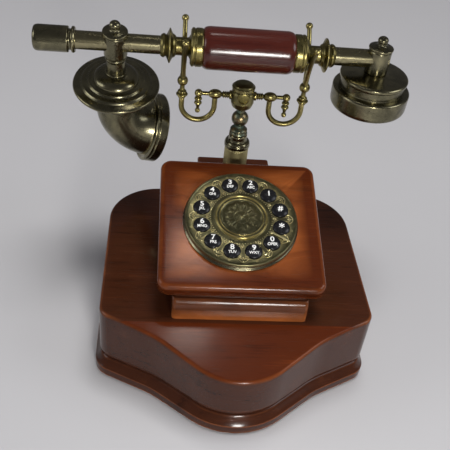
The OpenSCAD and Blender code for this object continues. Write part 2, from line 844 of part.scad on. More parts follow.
module ferrules() {
    color("darkkhaki") in_handset() {
        ferrule();
        mirror([1, 0, 0]) ferrule();
    }
}

// Turned collar: flare by the ferrule, neck in the fork, flange and bead by the tube
module collar() {
    difference() {
        turned_x([
            [0, ferrule_out], [ferrule_r - 0.9, ferrule_out], [ferrule_r - 1.6, ferrule_out + 0.7],
            [neck_r + 1.2, neck_in - 0.7], [neck_r, neck_in], [neck_r, neck_out - 0.6],
            [neck_r + 1.5, neck_out], [8.4, neck_out + 1.4], [12, neck_out + 3.2],
            [12, neck_out + 4], [8.4, neck_out + 5.6], [7.2, neck_out + 6.2],
            [8.2, neck_out + 7.2], [8.2, bead_out - 1.4], [7.2, bead_out], [0, bead_out]
        ]);
        translate([ferrule_out - cut, 0, 0]) rotate([0, 90, 0])
            cylinder(r = rod_r, h = neck_out + 4 - ferrule_out + cut);
    }
}

module collars() {
    color("darkkhaki") in_handset() {
        collar();
        mirror([1, 0, 0]) collar();
    }
}

module pipe_x(x0, x1) {
    translate([x0, 0, 0]) rotate([0, 90, 0]) difference() {
        cylinder(r = tube_r, h = x1 - x0);
        translate([0, 0, -cut]) cylinder(r = tube_r - tube_wall, h = x1 - x0 + 2 * cut);
    }
}

module handset_tubes() {
    color("darkolivegreen") in_handset() {
        pipe_x(-tube_left_end, -bead_out);
        pipe_x(bead_out, tee_right_x + tee_r - tee_wall);
    }
}

// Tee: upright barrel with the tube in it, above the turned foot that is given
module tee(foot, bore) {
    difference() {
        rotate_extrude() polygon(concat(foot, [[tee_r, cap_ring_h], [0, cap_ring_h]]));
        translate([-tee_r - cut, 0, 0]) rotate([0, 90, 0]) cylinder(r = tube_r, h = tee_r + cut + bore);
    }
}

module tees() {
    stem_end = -disc_drop + 10;
    color("darkolivegreen") {
        in_handset() translate([-tee_left_x, 0, 0]) tee([
            [0, stem_end], [stem_r, stem_end], [stem_r + 0.4, -20], [stem_r - 0.2, -14], [stem_r + 0.4, -12],
            [tee_r, -10.4]], tee_r + cut);
        in_receiver() tee([
            [0, -receiver_drop], [tee_r - 0.6, -receiver_drop], [tee_r, 1.4 - receiver_drop]
        ], tee_r - tee_wall);
    }
}

module tee_cap() {
    translate([0, 0, cap_ring_h]) rotate_extrude() polygon([
        [0, 0], [tee_r + 0.6, 0], [tee_r + 0.6, 1.2], [tee_r - 1.2, 1.9], [4.2, 2.4], [3.4, 3.4],
        [3.4, 5], [4.1, 5.6], [4.1, 7.4], [3.2, 8.4], [2.2, 9], [0, 9.4]
    ]);
}

module tee_caps() {
    color("olive") {
        in_handset() translate([-tee_left_x, 0, 0]) tee_cap();
        in_receiver() tee_cap();
    }
}

module end_cap() {
    x = tube_left_end;
    e = end_left_x;
    color("darkolivegreen") in_handset() difference() {
        turned_x([
            [0, -e], [end_cap_r - 2.6, -e], [end_cap_r - 0.9, -e + 0.8], [end_cap_r, -e + 3],
            [end_cap_r, -x - 4.4], [7.2, -x - 3.8], [7.2, -x - 2.4], [end_cap_r, -x - 1.9],
            [end_cap_r, -x - 0.5], [end_cap_r - 0.8, -x + 0.5], [tube_r, -x + 0.5], [tube_r, -x], [0, -x]
        ]);
        translate([-e - cut, -hand_jack[0] / 2, -hand_jack[2] / 2])
            cube([hand_jack[1] + cut, hand_jack[0], hand_jack[2]]);
    }
}

module handset_jack() {
    color("black") in_handset() translate([-end_left_x, 0, 0]) rotate([0, 0, 90])
        socket_block(hand_jack, hand_jack_hole);
}

module transmitter_disc() {
    z = -disc_drop;
    color("darkolivegreen") in_handset() translate([-tee_left_x, 0, 0]) difference() {
        rotate_extrude() polygon(concat(
            [[0, z - disc_t], [disc_r - 2, z - disc_t], [disc_r, z - disc_t + 1.2], [disc_r, z - 1],
                [disc_r - 1, z], [25.6, z + 0.8], [25, z + 2.2], [21, z + 2.6], [20.4, z + 4], [17, z + 4.2]],
            [for (i = [0:8]) let (a = 90 * i / 8)
                [stem_r + 9.6 * pow(cos(a), 1.2), z + 4.4 + 5.6 * sin(a)]],
            [[0, z + 10]]
        ));
        translate([0, 0, z - disc_t]) rotate_extrude() polygon([
            [0, -cut], [horn_start_r - horn_wall, -cut], [horn_start_r - horn_wall, 1.6], [disc_r - 4, 1.6],
            [disc_r - 4, disc_t - 1.6], [18, disc_t + 1], [14, disc_t + 4], [0, disc_t + 5]
        ]);
    }
}

// The horn is a bent tube that widens from the disc to its mouth
function horn_centre(t) = t < 0 ? [0, 0, -horn_drop * (1 + t)] :
    [horn_bend_r * (1 - cos(t)), 0, -horn_drop - horn_bend_r * sin(t)];
function horn_angle(t) = max(t, 0);
function horn_radius(s) = horn_start_r + (horn_mouth_r - horn_start_r) * pow(s, 0.85);
function horn_loop(s, inset) = let (
    total = horn_drop + horn_bend_r * horn_bend * PI / 180,
    run = s * total,
    t = run < horn_drop ? run / horn_drop - 1 : (run - horn_drop) / horn_bend_r * 180 / PI,
    c = horn_centre(t), a = horn_angle(t), r = horn_radius(s) - inset)
    [for (j = [0:horn_sides - 1]) let (b = 360 * j / horn_sides)
        c + r * [cos(b) * cos(a), sin(b), cos(b) * sin(a)]];

module in_horn() {
    in_handset() translate([-tee_left_x, 0, -disc_drop - disc_t]) rotate([0, 0, horn_turn]) children();
}

module transmitter_horn() {
    n = horn_sides;
    m = horn_rings;
    points = concat(
        [for (i = [0:m]) each horn_loop(i / m, 0)],
        [for (i = [0:m]) each horn_loop(i / m, horn_wall)]);
    inner = (m + 1) * n;
    outside = [for (i = [0:m - 1], j = [0:n - 1]) let (k = (j + 1) % n)
        [i * n + j, i * n + k, (i + 1) * n + k, (i + 1) * n + j]];
    inside = [for (i = [0:m - 1], j = [0:n - 1]) let (k = (j + 1) % n)
        [inner + i * n + j, inner + (i + 1) * n + j, inner + (i + 1) * n + k, inner + i * n + k]];
    top = [for (j = [0:n - 1]) let (k = (j + 1) % n) [j, inner + j, inner + k, k]];
    mouth = [for (j = [0:n - 1]) let (k = (j + 1) % n)
        [m * n + j, m * n + k, inner + m * n + k, inner + m * n + j]];
    color("darkolivegreen") in_horn() polyhedron(points, concat(outside, inside, top, mouth));
}

// Local Z points out of the horn's mouth
module at_mouth() {
    in_horn() translate(horn_centre(horn_bend)) rotate([0, 180 - horn_bend, 0]) children();
}

module mouth_ring() {
    color("darkkhaki") at_mouth() rotate_extrude() polygon([
        [grille_r, 0], [horn_mouth_r + 1.4, 0], [horn_mouth_r + 2.6, -0.6], [mouth_ring_r, 0.2],
        [mouth_ring_r, 1.6], [mouth_ring_r - 0.8, 2.2], [mouth_ring_r - 0.2, 3], [mouth_ring_r, 9],
        [mouth_ring_r - 1, mouth_depth - 0.2], [mouth_ring_r - 2.4, mouth_depth],
        [grille_r + 2.4, mouth_depth - 2.4], [grille_r, grille_z + grille_t + 1]
    ]);
}

// Perforated plate set back in the mouth
module mouth_grille() {
    color("black") at_mouth() translate([0, 0, grille_z]) difference() {
        cylinder(r = grille_r, h = grille_t);
        hole_rings(2, 5);
    }
}

// Rings of sound holes: one in the middle, then six more in each ring outwards
module hole_rings(rings, pitch) {
    translate([0, 0, -cut]) cylinder(r = sound_hole_r, h = 20);
    for (i = [1:rings], j = [0:6 * i - 1]) rotate(360 * j / (6 * i))
        translate([i * pitch, 0, -cut]) cylinder(r = sound_hole_r, h = 20);
}

module receiver_drum() {
    r = receiver_r;
    z = -receiver_drop;
    color("darkolivegreen") in_receiver() difference() {
        rotate_extrude() polygon([
            [0, z], [tee_r + 1, z], [tee_r + 1.8, z - 0.6], [r - 2, z - 1.5], [r - 0.4, z - 2.2],
            [r, z - 3], [r, z - 4.4], [r - 0.7, z - 5], [r - 1, drum_foot], [0, drum_foot]
        ]);
        translate([0, 0, drum_foot - cut]) cylinder(r = r - 5, h = receiver_h - 3 + cut);
    }
}

// Ear cap under the drum, dished for the ear, with sound holes
module ear_cap() {
    r = ear_cap_r;
    color("darkolivegreen") in_receiver() translate([0, 0, drum_foot]) difference() {
        rotate_extrude() polygon([
            [0, 0], [r - 1.6, 0], [r - 0.4, -0.5], [r, -1.4], [r - 0.3, -ear_h + 5], [r - 1.4, -ear_h + 2.4],
            [r - 4.4, 0.6 - ear_h], [r - 8, -ear_h], [12, 2.6 - ear_h], [0, 3.4 - ear_h]
        ]);
        translate([0, 0, -ear_h]) hole_rings(1, 5);
        translate([0, 0, -5]) cylinder(r = receiver_r - 6, h = 5 + cut);
    }
}

// Earphone in the drum and microphone behind the mouth's grille
module capsules() {
    color("silver") {
        in_receiver() translate([0, 0, drum_foot]) cylinder(r = receiver_r - 5.4, h = 8);
        at_mouth() translate([0, 0, grille_z - 7]) cylinder(r = 9, h = 6.8);
    }
}

base_body();
base_plinth();
bottom_plate();
rubber_feet();
bottom_screws();
cabinet_neck();
cabinet_case();
post_block();
post_tube();
post_collar();
dial_seat();
dial_plate();
medallion();
finger_stop();
key_mat();
key_board();
main_board();
ringer();
line_jack();
cord_jack();
hook_switch();
hook_spring();
key_1();
key_2();
key_3();
key_4();
key_5();
key_6();
key_7();
key_8();
key_9();
key_0();
key_star();
key_hash();
plunger();
cradle_baluster();
cradle_block();
cradle_cap();
crossbars();
pendants();
hook_left();
hook_right();
fork_left();
fork_right();
grip();
tie_rod();
ferrules();
collars();
handset_tubes();
tees();
tee_caps();
end_cap();
handset_jack();
transmitter_disc();
transmitter_horn();
mouth_ring();
mouth_grille();
receiver_drum();
ear_cap();
capsules();
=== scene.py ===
"""Looks of a cradle telephone in lacquered wood and antique brass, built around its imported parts.

Every size in the classes is in millimetres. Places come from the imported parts' own boxes.
"""
import logging
import math
from dataclasses import dataclass, field
from enum import Enum
from functools import cached_property, reduce
from typing import Callable, Iterable, Sequence, Union

import bmesh
import bpy
import numpy as np
from mathutils import Matrix, Vector


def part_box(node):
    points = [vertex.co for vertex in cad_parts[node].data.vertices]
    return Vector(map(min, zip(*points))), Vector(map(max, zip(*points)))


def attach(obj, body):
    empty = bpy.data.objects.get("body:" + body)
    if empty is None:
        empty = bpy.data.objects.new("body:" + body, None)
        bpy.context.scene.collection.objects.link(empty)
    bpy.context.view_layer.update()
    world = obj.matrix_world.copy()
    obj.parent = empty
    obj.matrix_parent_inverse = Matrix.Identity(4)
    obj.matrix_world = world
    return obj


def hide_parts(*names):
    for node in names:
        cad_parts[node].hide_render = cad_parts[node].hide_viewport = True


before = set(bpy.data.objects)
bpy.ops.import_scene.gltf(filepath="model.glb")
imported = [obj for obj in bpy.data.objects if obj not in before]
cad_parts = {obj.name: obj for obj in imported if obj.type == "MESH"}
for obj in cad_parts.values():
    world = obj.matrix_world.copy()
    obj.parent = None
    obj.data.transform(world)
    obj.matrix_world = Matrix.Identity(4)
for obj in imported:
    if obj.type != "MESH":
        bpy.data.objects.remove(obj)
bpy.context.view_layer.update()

LOG = logging.getLogger("telephone")
MM = 0.001
TURNED_BAND = 0.8  # width of the band of edge wear and painted edge highlight on turned pieces
SLAB_BAND = 1.2  # width of the band of edge wear and painted edge highlight on flat pieces
LEAST_TURN = math.radians(9)  # corners that turn less stay sharp
SMOOTH_ANGLE = 32.0  # edges that turn more than this, in degrees, stay sharp
WELD = 1e-7  # points closer than this, in metres, become one

Point = tuple[float, float]
Colour = tuple[float, float, float]
Term = Union["Value", float]


class Side(Enum):
    """Which end of the telephone a doubled piece belongs to."""

    LEFT = -1
    RIGHT = 1


# Outlines and shapes


def fan(start: float, end: float, steps: int) -> list[float]:
    """Angles in radians, evenly spaced from one angle in degrees to another."""
    return [math.radians(start + (end - start) * i / steps) for i in range(steps + 1)]


def circle(sides: int) -> list[float]:
    """Angles in radians, evenly spaced once round."""
    return [math.tau * j / sides for j in range(sides)]


def arc(cx: float, cy: float, r: float, start: float, end: float, steps: int) -> list[Point]:
    """Points along a round stretch.

    Args:
        cx: Centre, first coordinate.
        cy: Centre, second coordinate.
        r: Radius.
        start: First angle in degrees.
        end: Last angle in degrees.
        steps: Number of chords.

    Returns:
        The points from start to end.
    """
    return [(cx + r * math.cos(a), cy + r * math.sin(a)) for a in fan(start, end, steps)]


def eased(points: Sequence[Point], radius: float, steps: int = 4, closed: bool = False) -> list[Point]:
    """Rounds the corners of an outline, as a polished edge is rounded.

    Args:
        points: The outline with sharp corners.
        radius: How far from a corner the rounding begins, where its edges are long enough.
        steps: Number of chords round each corner.
        closed: Whether the last point joins the first.

    Returns:
        The outline with its corners rounded.
    """
    count = len(points)
    result: list[Point] = []
    for i, corner in enumerate(points):
        if not closed and i in (0, count - 1):
            result.append(corner)
            continue
        here = Vector(corner)
        back = Vector(points[i - 1]) - here
        ahead = Vector(points[(i + 1) % count]) - here
        if back.length < 1e-6 or ahead.length < 1e-6 or back.angle(-ahead) < LEAST_TURN:
            result.append(corner)
            continue
        reach = min(radius, 0.45 * back.length, 0.45 * ahead.length)
        first = here + back.normalized() * reach
        last = here + ahead.normalized() * reach
        for k in range(steps + 1):
            t = k / steps
            p = first * (1 - t) ** 2 + here * 2 * t * (1 - t) + last * t * t
            result.append((p.x, p.y))
    return result


def held(points: Sequence[Point], near: float, closed: bool = False) -> list[Point]:
    """Adds points beside the ends of long stretches, so that edge wear and painted edge highlights stay at
    the edges.

    Args:
        points: The outline.
        near: Distance of the added points from the ends of a stretch.
        closed: Whether the last point joins the first.

    Returns:
        The outline with the added points.
    """
    result: list[Point] = []
    count = len(points)
    for i, (x, y) in enumerate(points):
        result.append((x, y))
        if i == count - 1 and not closed:
            continue
        u, v = points[(i + 1) % count]
        length = math.hypot(u - x, v - y)
        if length > 4 * near:
            result += [(x + (u - x) * t, y + (v - y) * t) for t in (near / length, 1 - near / length)]
    return result


def rounded_rectangle(width: float, length: float, corner: float, steps: int = 8) -> list[Point]:
    """Outline of a rectangle about the origin with round corners, anticlockwise."""
    x, y = width / 2 - corner, length / 2 - corner
    return (arc(x, y, corner, 0, 90, steps) + arc(-x, y, corner, 90, 180, steps)
        + arc(-x, -y, corner, 180, 270, steps) + arc(x, -y, corner, 270, 360, steps))


def moved_by(x: float, y: float, z: float) -> Matrix:
    """A move along the three axes."""
    return Matrix.Translation((x, y, z))


def turned_by(degrees: float, axis: str) -> Matrix:
    """A turn about one axis through the origin."""
    return Matrix.Rotation(math.radians(degrees), 4, axis)


@dataclass(frozen=True)
class Shape:
    """A closed surface in millimetres, ready to be moved, joined and made into a piece."""

    points: np.ndarray
    faces: tuple[tuple[int, ...], ...]

    @classmethod
    def skin(cls, loops: Sequence[Sequence[Sequence[float]]], closed: bool = False) -> "Shape":
        """Skins a row of loops that have the same number of points.

        Args:
            loops: The loops, in order along the shape.
            closed: Whether the last loop joins the first; otherwise both ends are capped.

        Returns:
            The skinned shape.
        """
        rows, n = len(loops), len(loops[0])
        points = np.array([p for loop in loops for p in loop], float)
        faces = [(i * n + j, i * n + (j + 1) % n, k * n + (j + 1) % n, k * n + j)
            for i in range(rows if closed else rows - 1) for k in [(i + 1) % rows] for j in range(n)]
        if not closed:
            faces += [tuple(range(n)), tuple(range((rows - 1) * n, rows * n))]
        return cls(points, tuple(faces))

    @classmethod
    def turned(cls, profile: Sequence[Point], ease: float = 0.0, sides: int = 96) -> "Shape":
        """Turns a profile about Z, as on a lathe.

        Args:
            profile: Radius and height of each point. An end that is off the axis joins the other.
            ease: Rounding of the profile's corners.
            sides: Number of flats round the axis.

        Returns:
            The turned shape.
        """
        ring = profile[0][0] > 0 or profile[-1][0] > 0
        line = held(eased(profile, ease, closed=ring) if ease else list(profile), TURNED_BAND, ring)
        loops = [[(r * math.cos(a), r * math.sin(a), z) for a in circle(sides)] for r, z in line]
        return cls.skin(loops, closed=ring)

    @classmethod
    def swept(cls, path: Sequence[Sequence[float]], radius: Callable[[float], float],
            sides: int = 20) -> "Shape":
        """Sweeps a round section along a path.

        Args:
            path: Points along the middle of the rod.
            radius: Gives the radius at a share, 0 to 1, of the way along.
            sides: Number of flats round the rod.

        Returns:
            The swept rod with flat ends.
        """
        line = [Vector(p) for p in path]
        last = len(line) - 1
        loops = []
        across = (line[1] - line[0]).orthogonal().normalized()
        for i, p in enumerate(line):
            ahead = (line[min(i + 1, last)] - line[max(i - 1, 0)]).normalized()
            across = (across - ahead * across.dot(ahead)).normalized()
            other = ahead.cross(across)
            r = radius(i / last)
            loops.append([tuple(p + across * (r * math.cos(a)) + other * (r * math.sin(a)))
                for a in circle(sides)])
        return cls.skin(loops)

    @classmethod
    def slab(cls, outline: Callable[[float], list[Point]], layers: Iterable[Point],
            closed: bool = False) -> "Shape":
        """Stacks one outline at several heights.

        Args:
            outline: Gives the outline moved outwards by a distance.
            layers: Distance outwards and height of each layer.
            closed: Whether the stack returns to its first layer, leaving a hollow.

        Returns:
            The stacked shape.
        """
        stack = held(list(layers), SLAB_BAND, closed)
        return cls.skin([[(x, y, z) for x, y in outline(d)] for d, z in stack], closed)

    def __add__(self, other: "Shape") -> "Shape":
        """Joins two shapes into one."""
        shift = len(self.points)
        moved = tuple(tuple(i + shift for i in f) for f in other.faces)
        return Shape(np.vstack([self.points, other.points]), self.faces + moved)

    def moved(self, matrix: Matrix) -> "Shape":
        """Moves the shape by a matrix in millimetres."""
        m = np.array(matrix)
        return Shape(self.points @ m[:3, :3].T + m[:3, 3], self.faces)

    def piece(self, name: str) -> bpy.types.Object:
        """Makes the shape an object of the scene, in metres."""
        work = bmesh.new()
        corners = [work.verts.new(Vector(p) * MM) for p in self.points]
        for f in self.faces:
            work.faces.new([corners[i] for i in f])
        bmesh.ops.remove_doubles(work, verts=work.verts, dist=WELD)
        bmesh.ops.dissolve_degenerate(work, dist=WELD, edges=work.edges)
        bmesh.ops.recalc_face_normals(work, faces=work.faces)
        mesh = bpy.data.meshes.new(name)
        work.to_mesh(mesh)
        work.free()
        thing = bpy.data.objects.new(name, mesh)
        bpy.context.scene.collection.objects.link(thing)
        return thing


def joined(shapes: Iterable[Shape]) -> Shape:
    """Joins several shapes into one."""
    return reduce(Shape.__add__, shapes)


def carve(piece: bpy.types.Object, cutter: Shape) -> None:
    """Cuts a shape out of a piece."""
    tool = cutter.piece("cutter")
    cut = piece.modifiers.new("cut", "BOOLEAN")
    cut.operation = "DIFFERENCE"
    cut.solver = "EXACT"
    cut.object = tool
    settled = piece.evaluated_get(bpy.context.evaluated_depsgraph_get())
    mesh = bpy.data.meshes.new_from_object(settled)
    piece.modifiers.clear()
    piece.data = mesh
    bpy.data.objects.remove(tool)


def smooth(piece: bpy.types.Object) -> None:
    """Shades a piece smooth up to an angle, with its flats kept flat."""
    mesh = piece.data
    mesh.polygons.foreach_set("use_smooth", [True] * len(mesh.polygons))
    mesh.set_sharp_from_angle(angle=math.radians(SMOOTH_ANGLE))
    flats = piece.modifiers.new("flats", "WEIGHTED_NORMAL")
    flats.keep_sharp = True


def cylinder(radius: float, low: float, high: float, sides: int = 48) -> Shape:
    """A plain round cutter or stem about Z."""
    return Shape.turned([(0, low), (radius, low), (radius, high), (0, high)], sides=sides)


def block(size: Sequence[float], middle: Sequence[float], ease: float = 0.4) -> Shape:
    """A block with rounded edges.

    Args:
        size: Width, length and height.
        middle: The block's middle.
        ease: Rounding of its edges.

    Returns:
        The block.
    """
    top = [(-ease * (1 - math.cos(a)), size[2] / 2 - ease * (1 - math.sin(a))) for a in fan(0, 90, 4)]
    stack = [(d, -z) for d, z in reversed(top)] + top

    def outline(d: float) -> list[Point]:
        """The block's plan moved outwards by d."""
        return rounded_rectangle(size[0] + 2 * d, size[1] + 2 * d, max(ease + d, 0.02) + 0.3, 4)

    return Shape.slab(outline, stack).moved(Matrix.Translation(middle))


# Shader arithmetic


@dataclass(frozen=True)
class Value:
    """A shader socket that takes part in arithmetic, adding Math nodes to its graph."""

    graph: "Graph"
    socket: bpy.types.NodeSocket

    def _with(self, operation: str, first: Term, second: Term) -> "Value":
        """Adds one Math node."""
        return self.graph.add("ShaderNodeMath", {"operation": operation}, {0: first, 1: second})

    def __add__(self, other: Term) -> "Value":
        """Adds."""
        return self._with("ADD", self, other)

    def __radd__(self, other: Term) -> "Value":
        """Adds, with the number first."""
        return self._with("ADD", other, self)

    def __sub__(self, other: Term) -> "Value":
        """Subtracts."""
        return self._with("SUBTRACT", self, other)

    def __rsub__(self, other: Term) -> "Value":
        """Subtracts from a number."""
        return self._with("SUBTRACT", other, self)

    def __mul__(self, other: Term) -> "Value":
        """Multiplies."""
        return self._with("MULTIPLY", self, other)

    def clamped(self) -> "Value":
        """Keeps the value between 0 and 1."""
        return self.graph.add("ShaderNodeClamp", {}, {0: self})


class Graph:
    """The node graph of one finish, around a Principled shader."""

    def __init__(self, name: str) -> None:
        """Starts an empty finish.

        Args:
            name: Name of the material.
        """
        self.material = bpy.data.materials.new(name)
        self.material.use_nodes = True
        self.tree = self.material.node_tree
        self.shader = self.tree.nodes["Principled BSDF"]

    def add(self, kind: str, settings: dict, inputs: dict, output: Union[int, str] = 0) -> Value:
        """Adds one node.

        Args:
            kind: The node's type.
            settings: Its settings, set before its sockets. "stops" fills a colour ramp.
            inputs: Numbers, colours or Values for its sockets, by name or place.
            output: The socket to return.

        Returns:
            The chosen output.
        """
        node = self.tree.nodes.new(kind)
        for key, setting in settings.items():
            if key == "stops":
                self._fill(node.color_ramp, setting)
            else:
                setattr(node, key, setting)
        for key, term in inputs.items():
            self._feed(node.inputs[key], term)
        return Value(self, node.outputs[output])

    def _fill(self, ramp: bpy.types.ColorRamp, stops: Sequence[tuple[float, Colour]]) -> None:
        """Sets a colour ramp's stops."""
        while len(ramp.elements) < len(stops):
            ramp.elements.new(0.5)
        for element, (place, colour) in zip(ramp.elements, stops):
            element.position = place
            element.color = (*colour, 1)

    def _feed(self, socket: bpy.types.NodeSocket, term: object) -> None:
        """Links a Value or sets a constant on a socket."""
        if isinstance(term, Value):
            self.tree.links.new(term.socket, socket)
        elif socket.type == "RGBA":
            socket.default_value = (*term, 1)
        else:
            socket.default_value = term

    def place(self, scale: Sequence[float], shift: Sequence[float] = (0, 0, 0)) -> Value:
        """The piece's own coordinates in metres, scaled along each axis."""
        own = self.add("ShaderNodeTexCoord", {}, {}, "Object")
        return self.add("ShaderNodeMapping", {}, {"Vector": own, "Scale": scale, "Location": shift})

    def noise(self, at: Value, detail: float = 4.0, roughness: float = 0.55,
            distortion: float = 0.0) -> Value:
        """Noise between about 0 and 1 at scaled coordinates."""
        return self.add("ShaderNodeTexNoise", {}, {"Vector": at, "Scale": 1.0, "Detail": detail,
            "Roughness": roughness, "Distortion": distortion})

    def ramp(self, factor: Term, stops: Sequence[tuple[float, Colour]]) -> Value:
        """A colour ramp."""
        return self.add("ShaderNodeValToRGB", {"stops": stops}, {0: factor})

    def span(self, factor: Term, low: float, high: float) -> Value:
        """Stretches a value so that low becomes 0 and high becomes 1, and clamps it."""
        return self.add("ShaderNodeMapRange", {}, {"Value": factor, "From Min": low, "From Max": high})

    def mix(self, factor: Term, first: object, second: object) -> Value:
        """Mixes two colours."""
        return self.add("ShaderNodeMix", {"data_type": "RGBA"}, {0: factor, 6: first, 7: second}, 2)

    def edge(self) -> Value:
        """How convex the surface is: 0.5 on a flat, more on an edge, less in a groove."""
        return self.add("ShaderNodeNewGeometry", {}, {}, "Pointiness")

    def bump(self, height: Value, strength: float, distance: float) -> Value:
        """Turns a height in 0 to 1 into a normal."""
        return self.add("ShaderNodeBump", {}, {"Height": height, "Strength": strength,
            "Distance": distance})

    def dress(self, **sockets: object) -> bpy.types.Material:
        """Feeds the shader and returns the material. Socket names use _ for spaces."""
        for key, term in sockets.items():
            self._feed(self.shader.inputs[key.replace("_", " ")], term)
        return self.material


# Finishes


@dataclass(frozen=True)
class Finish:
    """A finish that a piece can wear. Subclasses make the material."""

    name: str
    slot: str

    def make(self) -> bpy.types.Material:
        """Makes the material."""
        raise NotImplementedError

    @cached_property
    def material(self) -> bpy.types.Material:
        """The material, made once."""
        return self.make()


@dataclass(frozen=True)
class LacqueredWood(Finish):
    """Stained wood with grain along X, pores, a painted highlight along its edges and a lacquer coat."""

    deep: Colour = (0.026, 0.006, 0.002)
    body: Colour = (0.072, 0.0140, 0.0035)
    warm: Colour = (0.128, 0.027, 0.006)
    # rim is the colour of the painted highlight along convex edges
    rim: Colour = (0.520, 0.150, 0.036)
    edge_highlight_strength: float = 0.7
    gloss: float = 0.16
    coat: float = 0.25
    coat_rough: float = 0.12
    level: float = 0.16

    def make(self) -> bpy.types.Material:
        """Makes the material."""
        g = Graph(self.name)
        streak = g.noise(g.place((14, 150, 150)), detail=6, roughness=0.62, distortion=0.35)
        fibre = g.noise(g.place((55, 1300, 1300)), detail=3)
        figure = g.noise(g.place((9, 26, 26), (3, 1, 2)), detail=4, distortion=1.4)
        tone = streak * 0.46 + fibre * 0.24 + figure * 0.30
        colour = g.ramp(tone, [(0.34, self.deep), (0.47, self.body), (0.54, self.body), (0.66, self.warm)])
        pores = g.span(g.noise(g.place((70, 1900, 1900), (5, 5, 5)), detail=2), 0.60, 0.72)
        colour = g.mix(pores * 0.55, colour, self.deep)
        # Painted highlight: convex edges are lightened towards the rim colour, patchy with the figure
        rim = g.span(g.edge(), 0.512, 0.56) * g.span(figure, 0.25, 0.6)
        colour = g.mix(rim * self.edge_highlight_strength, colour, self.rim)
        smudge = g.noise(g.place((42, 42, 42), (1, 7, 4)), detail=5, roughness=0.7)
        rough = self.gloss + smudge * 0.10 + pores * 0.12
        ripple = g.noise(g.place((160, 160, 160)), detail=2)
        skin = g.bump(fibre * 0.35 + streak * 0.3 + ripple * 0.5 - pores * 0.5, 0.22, 0.00025)
        return g.dress(Base_Color=colour, Roughness=rough, Normal=skin, Coat_Weight=self.coat,
            Coat_Roughness=self.coat_rough, Specular_IOR_Level=self.level)


@dataclass(frozen=True)
class AgedBrass(Finish):
    """Antique brass: bright where it is rubbed, dark olive where patina stays."""

    patina: Colour = (0.060, 0.055, 0.028)
    metal: Colour = (0.250, 0.215, 0.095)
    rubbed: Colour = (0.560, 0.470, 0.200)
    shine: float = 0.24
    wear: float = 0.5
    clouds: float = 0.5
    tint: Colour = (0.10, 0.22, 0.19)
    tint_share: float = 0.0

    def make(self) -> bpy.types.Material:
        """Makes the material."""
        g = Graph(self.name)
        cloud = g.noise(g.place((55, 55, 55), (2, 3, 9)), detail=6, roughness=0.65, distortion=0.6)
        fleck = g.noise(g.place((620, 620, 620)), detail=4, roughness=0.6)
        edge = g.edge()
        groove = g.span(edge, 0.495, 0.44)
        worn = g.span(edge, 0.508, 0.56) * self.wear
        aged = g.span(cloud * 0.8 + fleck * 0.2, 0.42, 0.66) * self.clouds
        colour = g.mix(aged, self.metal, self.patina)
        colour = g.mix((worn + g.span(cloud, 0.50, 0.30) * 0.22).clamped(), colour, self.rubbed)
        colour = g.mix((groove * 0.85).clamped(), colour, self.patina)
        if self.tint_share:
            green = g.span(g.noise(g.place((240, 240, 240), (4, 4, 4)), detail=5), 0.42, 0.60)
            colour = g.mix(green * self.tint_share, colour, self.tint)
        rough = (self.shine + cloud * 0.12 + aged * 0.16 + fleck * 0.08 + groove * 0.2).clamped()
        scratch = g.noise(g.place((90, 900, 2600), (0, 2, 0)), detail=3)
        pits = g.span(fleck, 0.62, 0.74)
        skin = g.bump(scratch * 0.3 + fleck * 0.3 - pits * 0.6, 0.10, 0.00012)
        return g.dress(Base_Color=colour, Roughness=rough, Normal=skin, Metallic=1.0 - groove * 0.25)


@dataclass(frozen=True)
class Moulded(Finish):
    """Plastic, rubber or paint: one colour with fine mottling, dust and a moulded skin."""

    colour: Colour = (0.012, 0.012, 0.013)
    light: Colour = (0.03, 0.03, 0.032)
    rough: float = 0.25
    grain: float = 900.0
    skin: float = 0.12
    level: float = 0.5

    def make(self) -> bpy.types.Material:
        """Makes the material."""
        g = Graph(self.name)
        mottle = g.noise(g.place((130, 130, 130)), detail=5, roughness=0.65)
        fine = g.noise(g.place((self.grain,) * 3, (3, 1, 4)), detail=3)
        colour = g.mix(g.span(mottle * 0.7 + fine * 0.3, 0.35, 0.75), self.colour, self.light)
        rough = self.rough + mottle * 0.14 + fine * 0.06
        return g.dress(Base_Color=colour, Roughness=rough, Specular_IOR_Level=self.level,
            Normal=g.bump(fine, self.skin, 0.00008))


@dataclass(frozen=True)
class PlainSteel(Finish):
    """Turned or pressed steel with fine drawing marks and faint spots."""

    bright: Colour = (0.55, 0.55, 0.56)
    dull: Colour = (0.30, 0.30, 0.31)

    def make(self) -> bpy.types.Material:
        """Makes the material."""
        g = Graph(self.name)
        drawn = g.noise(g.place((160, 160, 3200)), detail=3)
        spots = g.noise(g.place((170, 170, 170), (6, 2, 2)), detail=5, roughness=0.7)
        colour = g.mix(g.span(drawn * 0.5 + spots * 0.5, 0.35, 0.7), self.bright, self.dull)
        return g.dress(Base_Color=colour, Roughness=0.26 + spots * 0.2, Metallic=1.0,
            Normal=g.bump(drawn, 0.12, 0.00006))


@dataclass(frozen=True)
class CircuitBoard(Finish):
    """Green board with a lattice of copper tracks under the resist."""

    resist: Colour = (0.012, 0.085, 0.035)
    track: Colour = (0.03, 0.16, 0.06)

    def make(self) -> bpy.types.Material:
        """Makes the material."""
        g = Graph(self.name)
        cells = g.add("ShaderNodeTexVoronoi", {"distance": "MANHATTAN"},
            {"Vector": g.place((320, 320, 320)), "Scale": 1.0})
        mottle = g.noise(g.place((400, 400, 400)), detail=3)
        tracks = g.span(cells, 0.42, 0.50)
        return g.dress(Base_Color=g.mix(tracks, self.resist, self.track), Roughness=0.34 + mottle * 0.15,
            Normal=g.bump(tracks, 0.2, 0.00008))


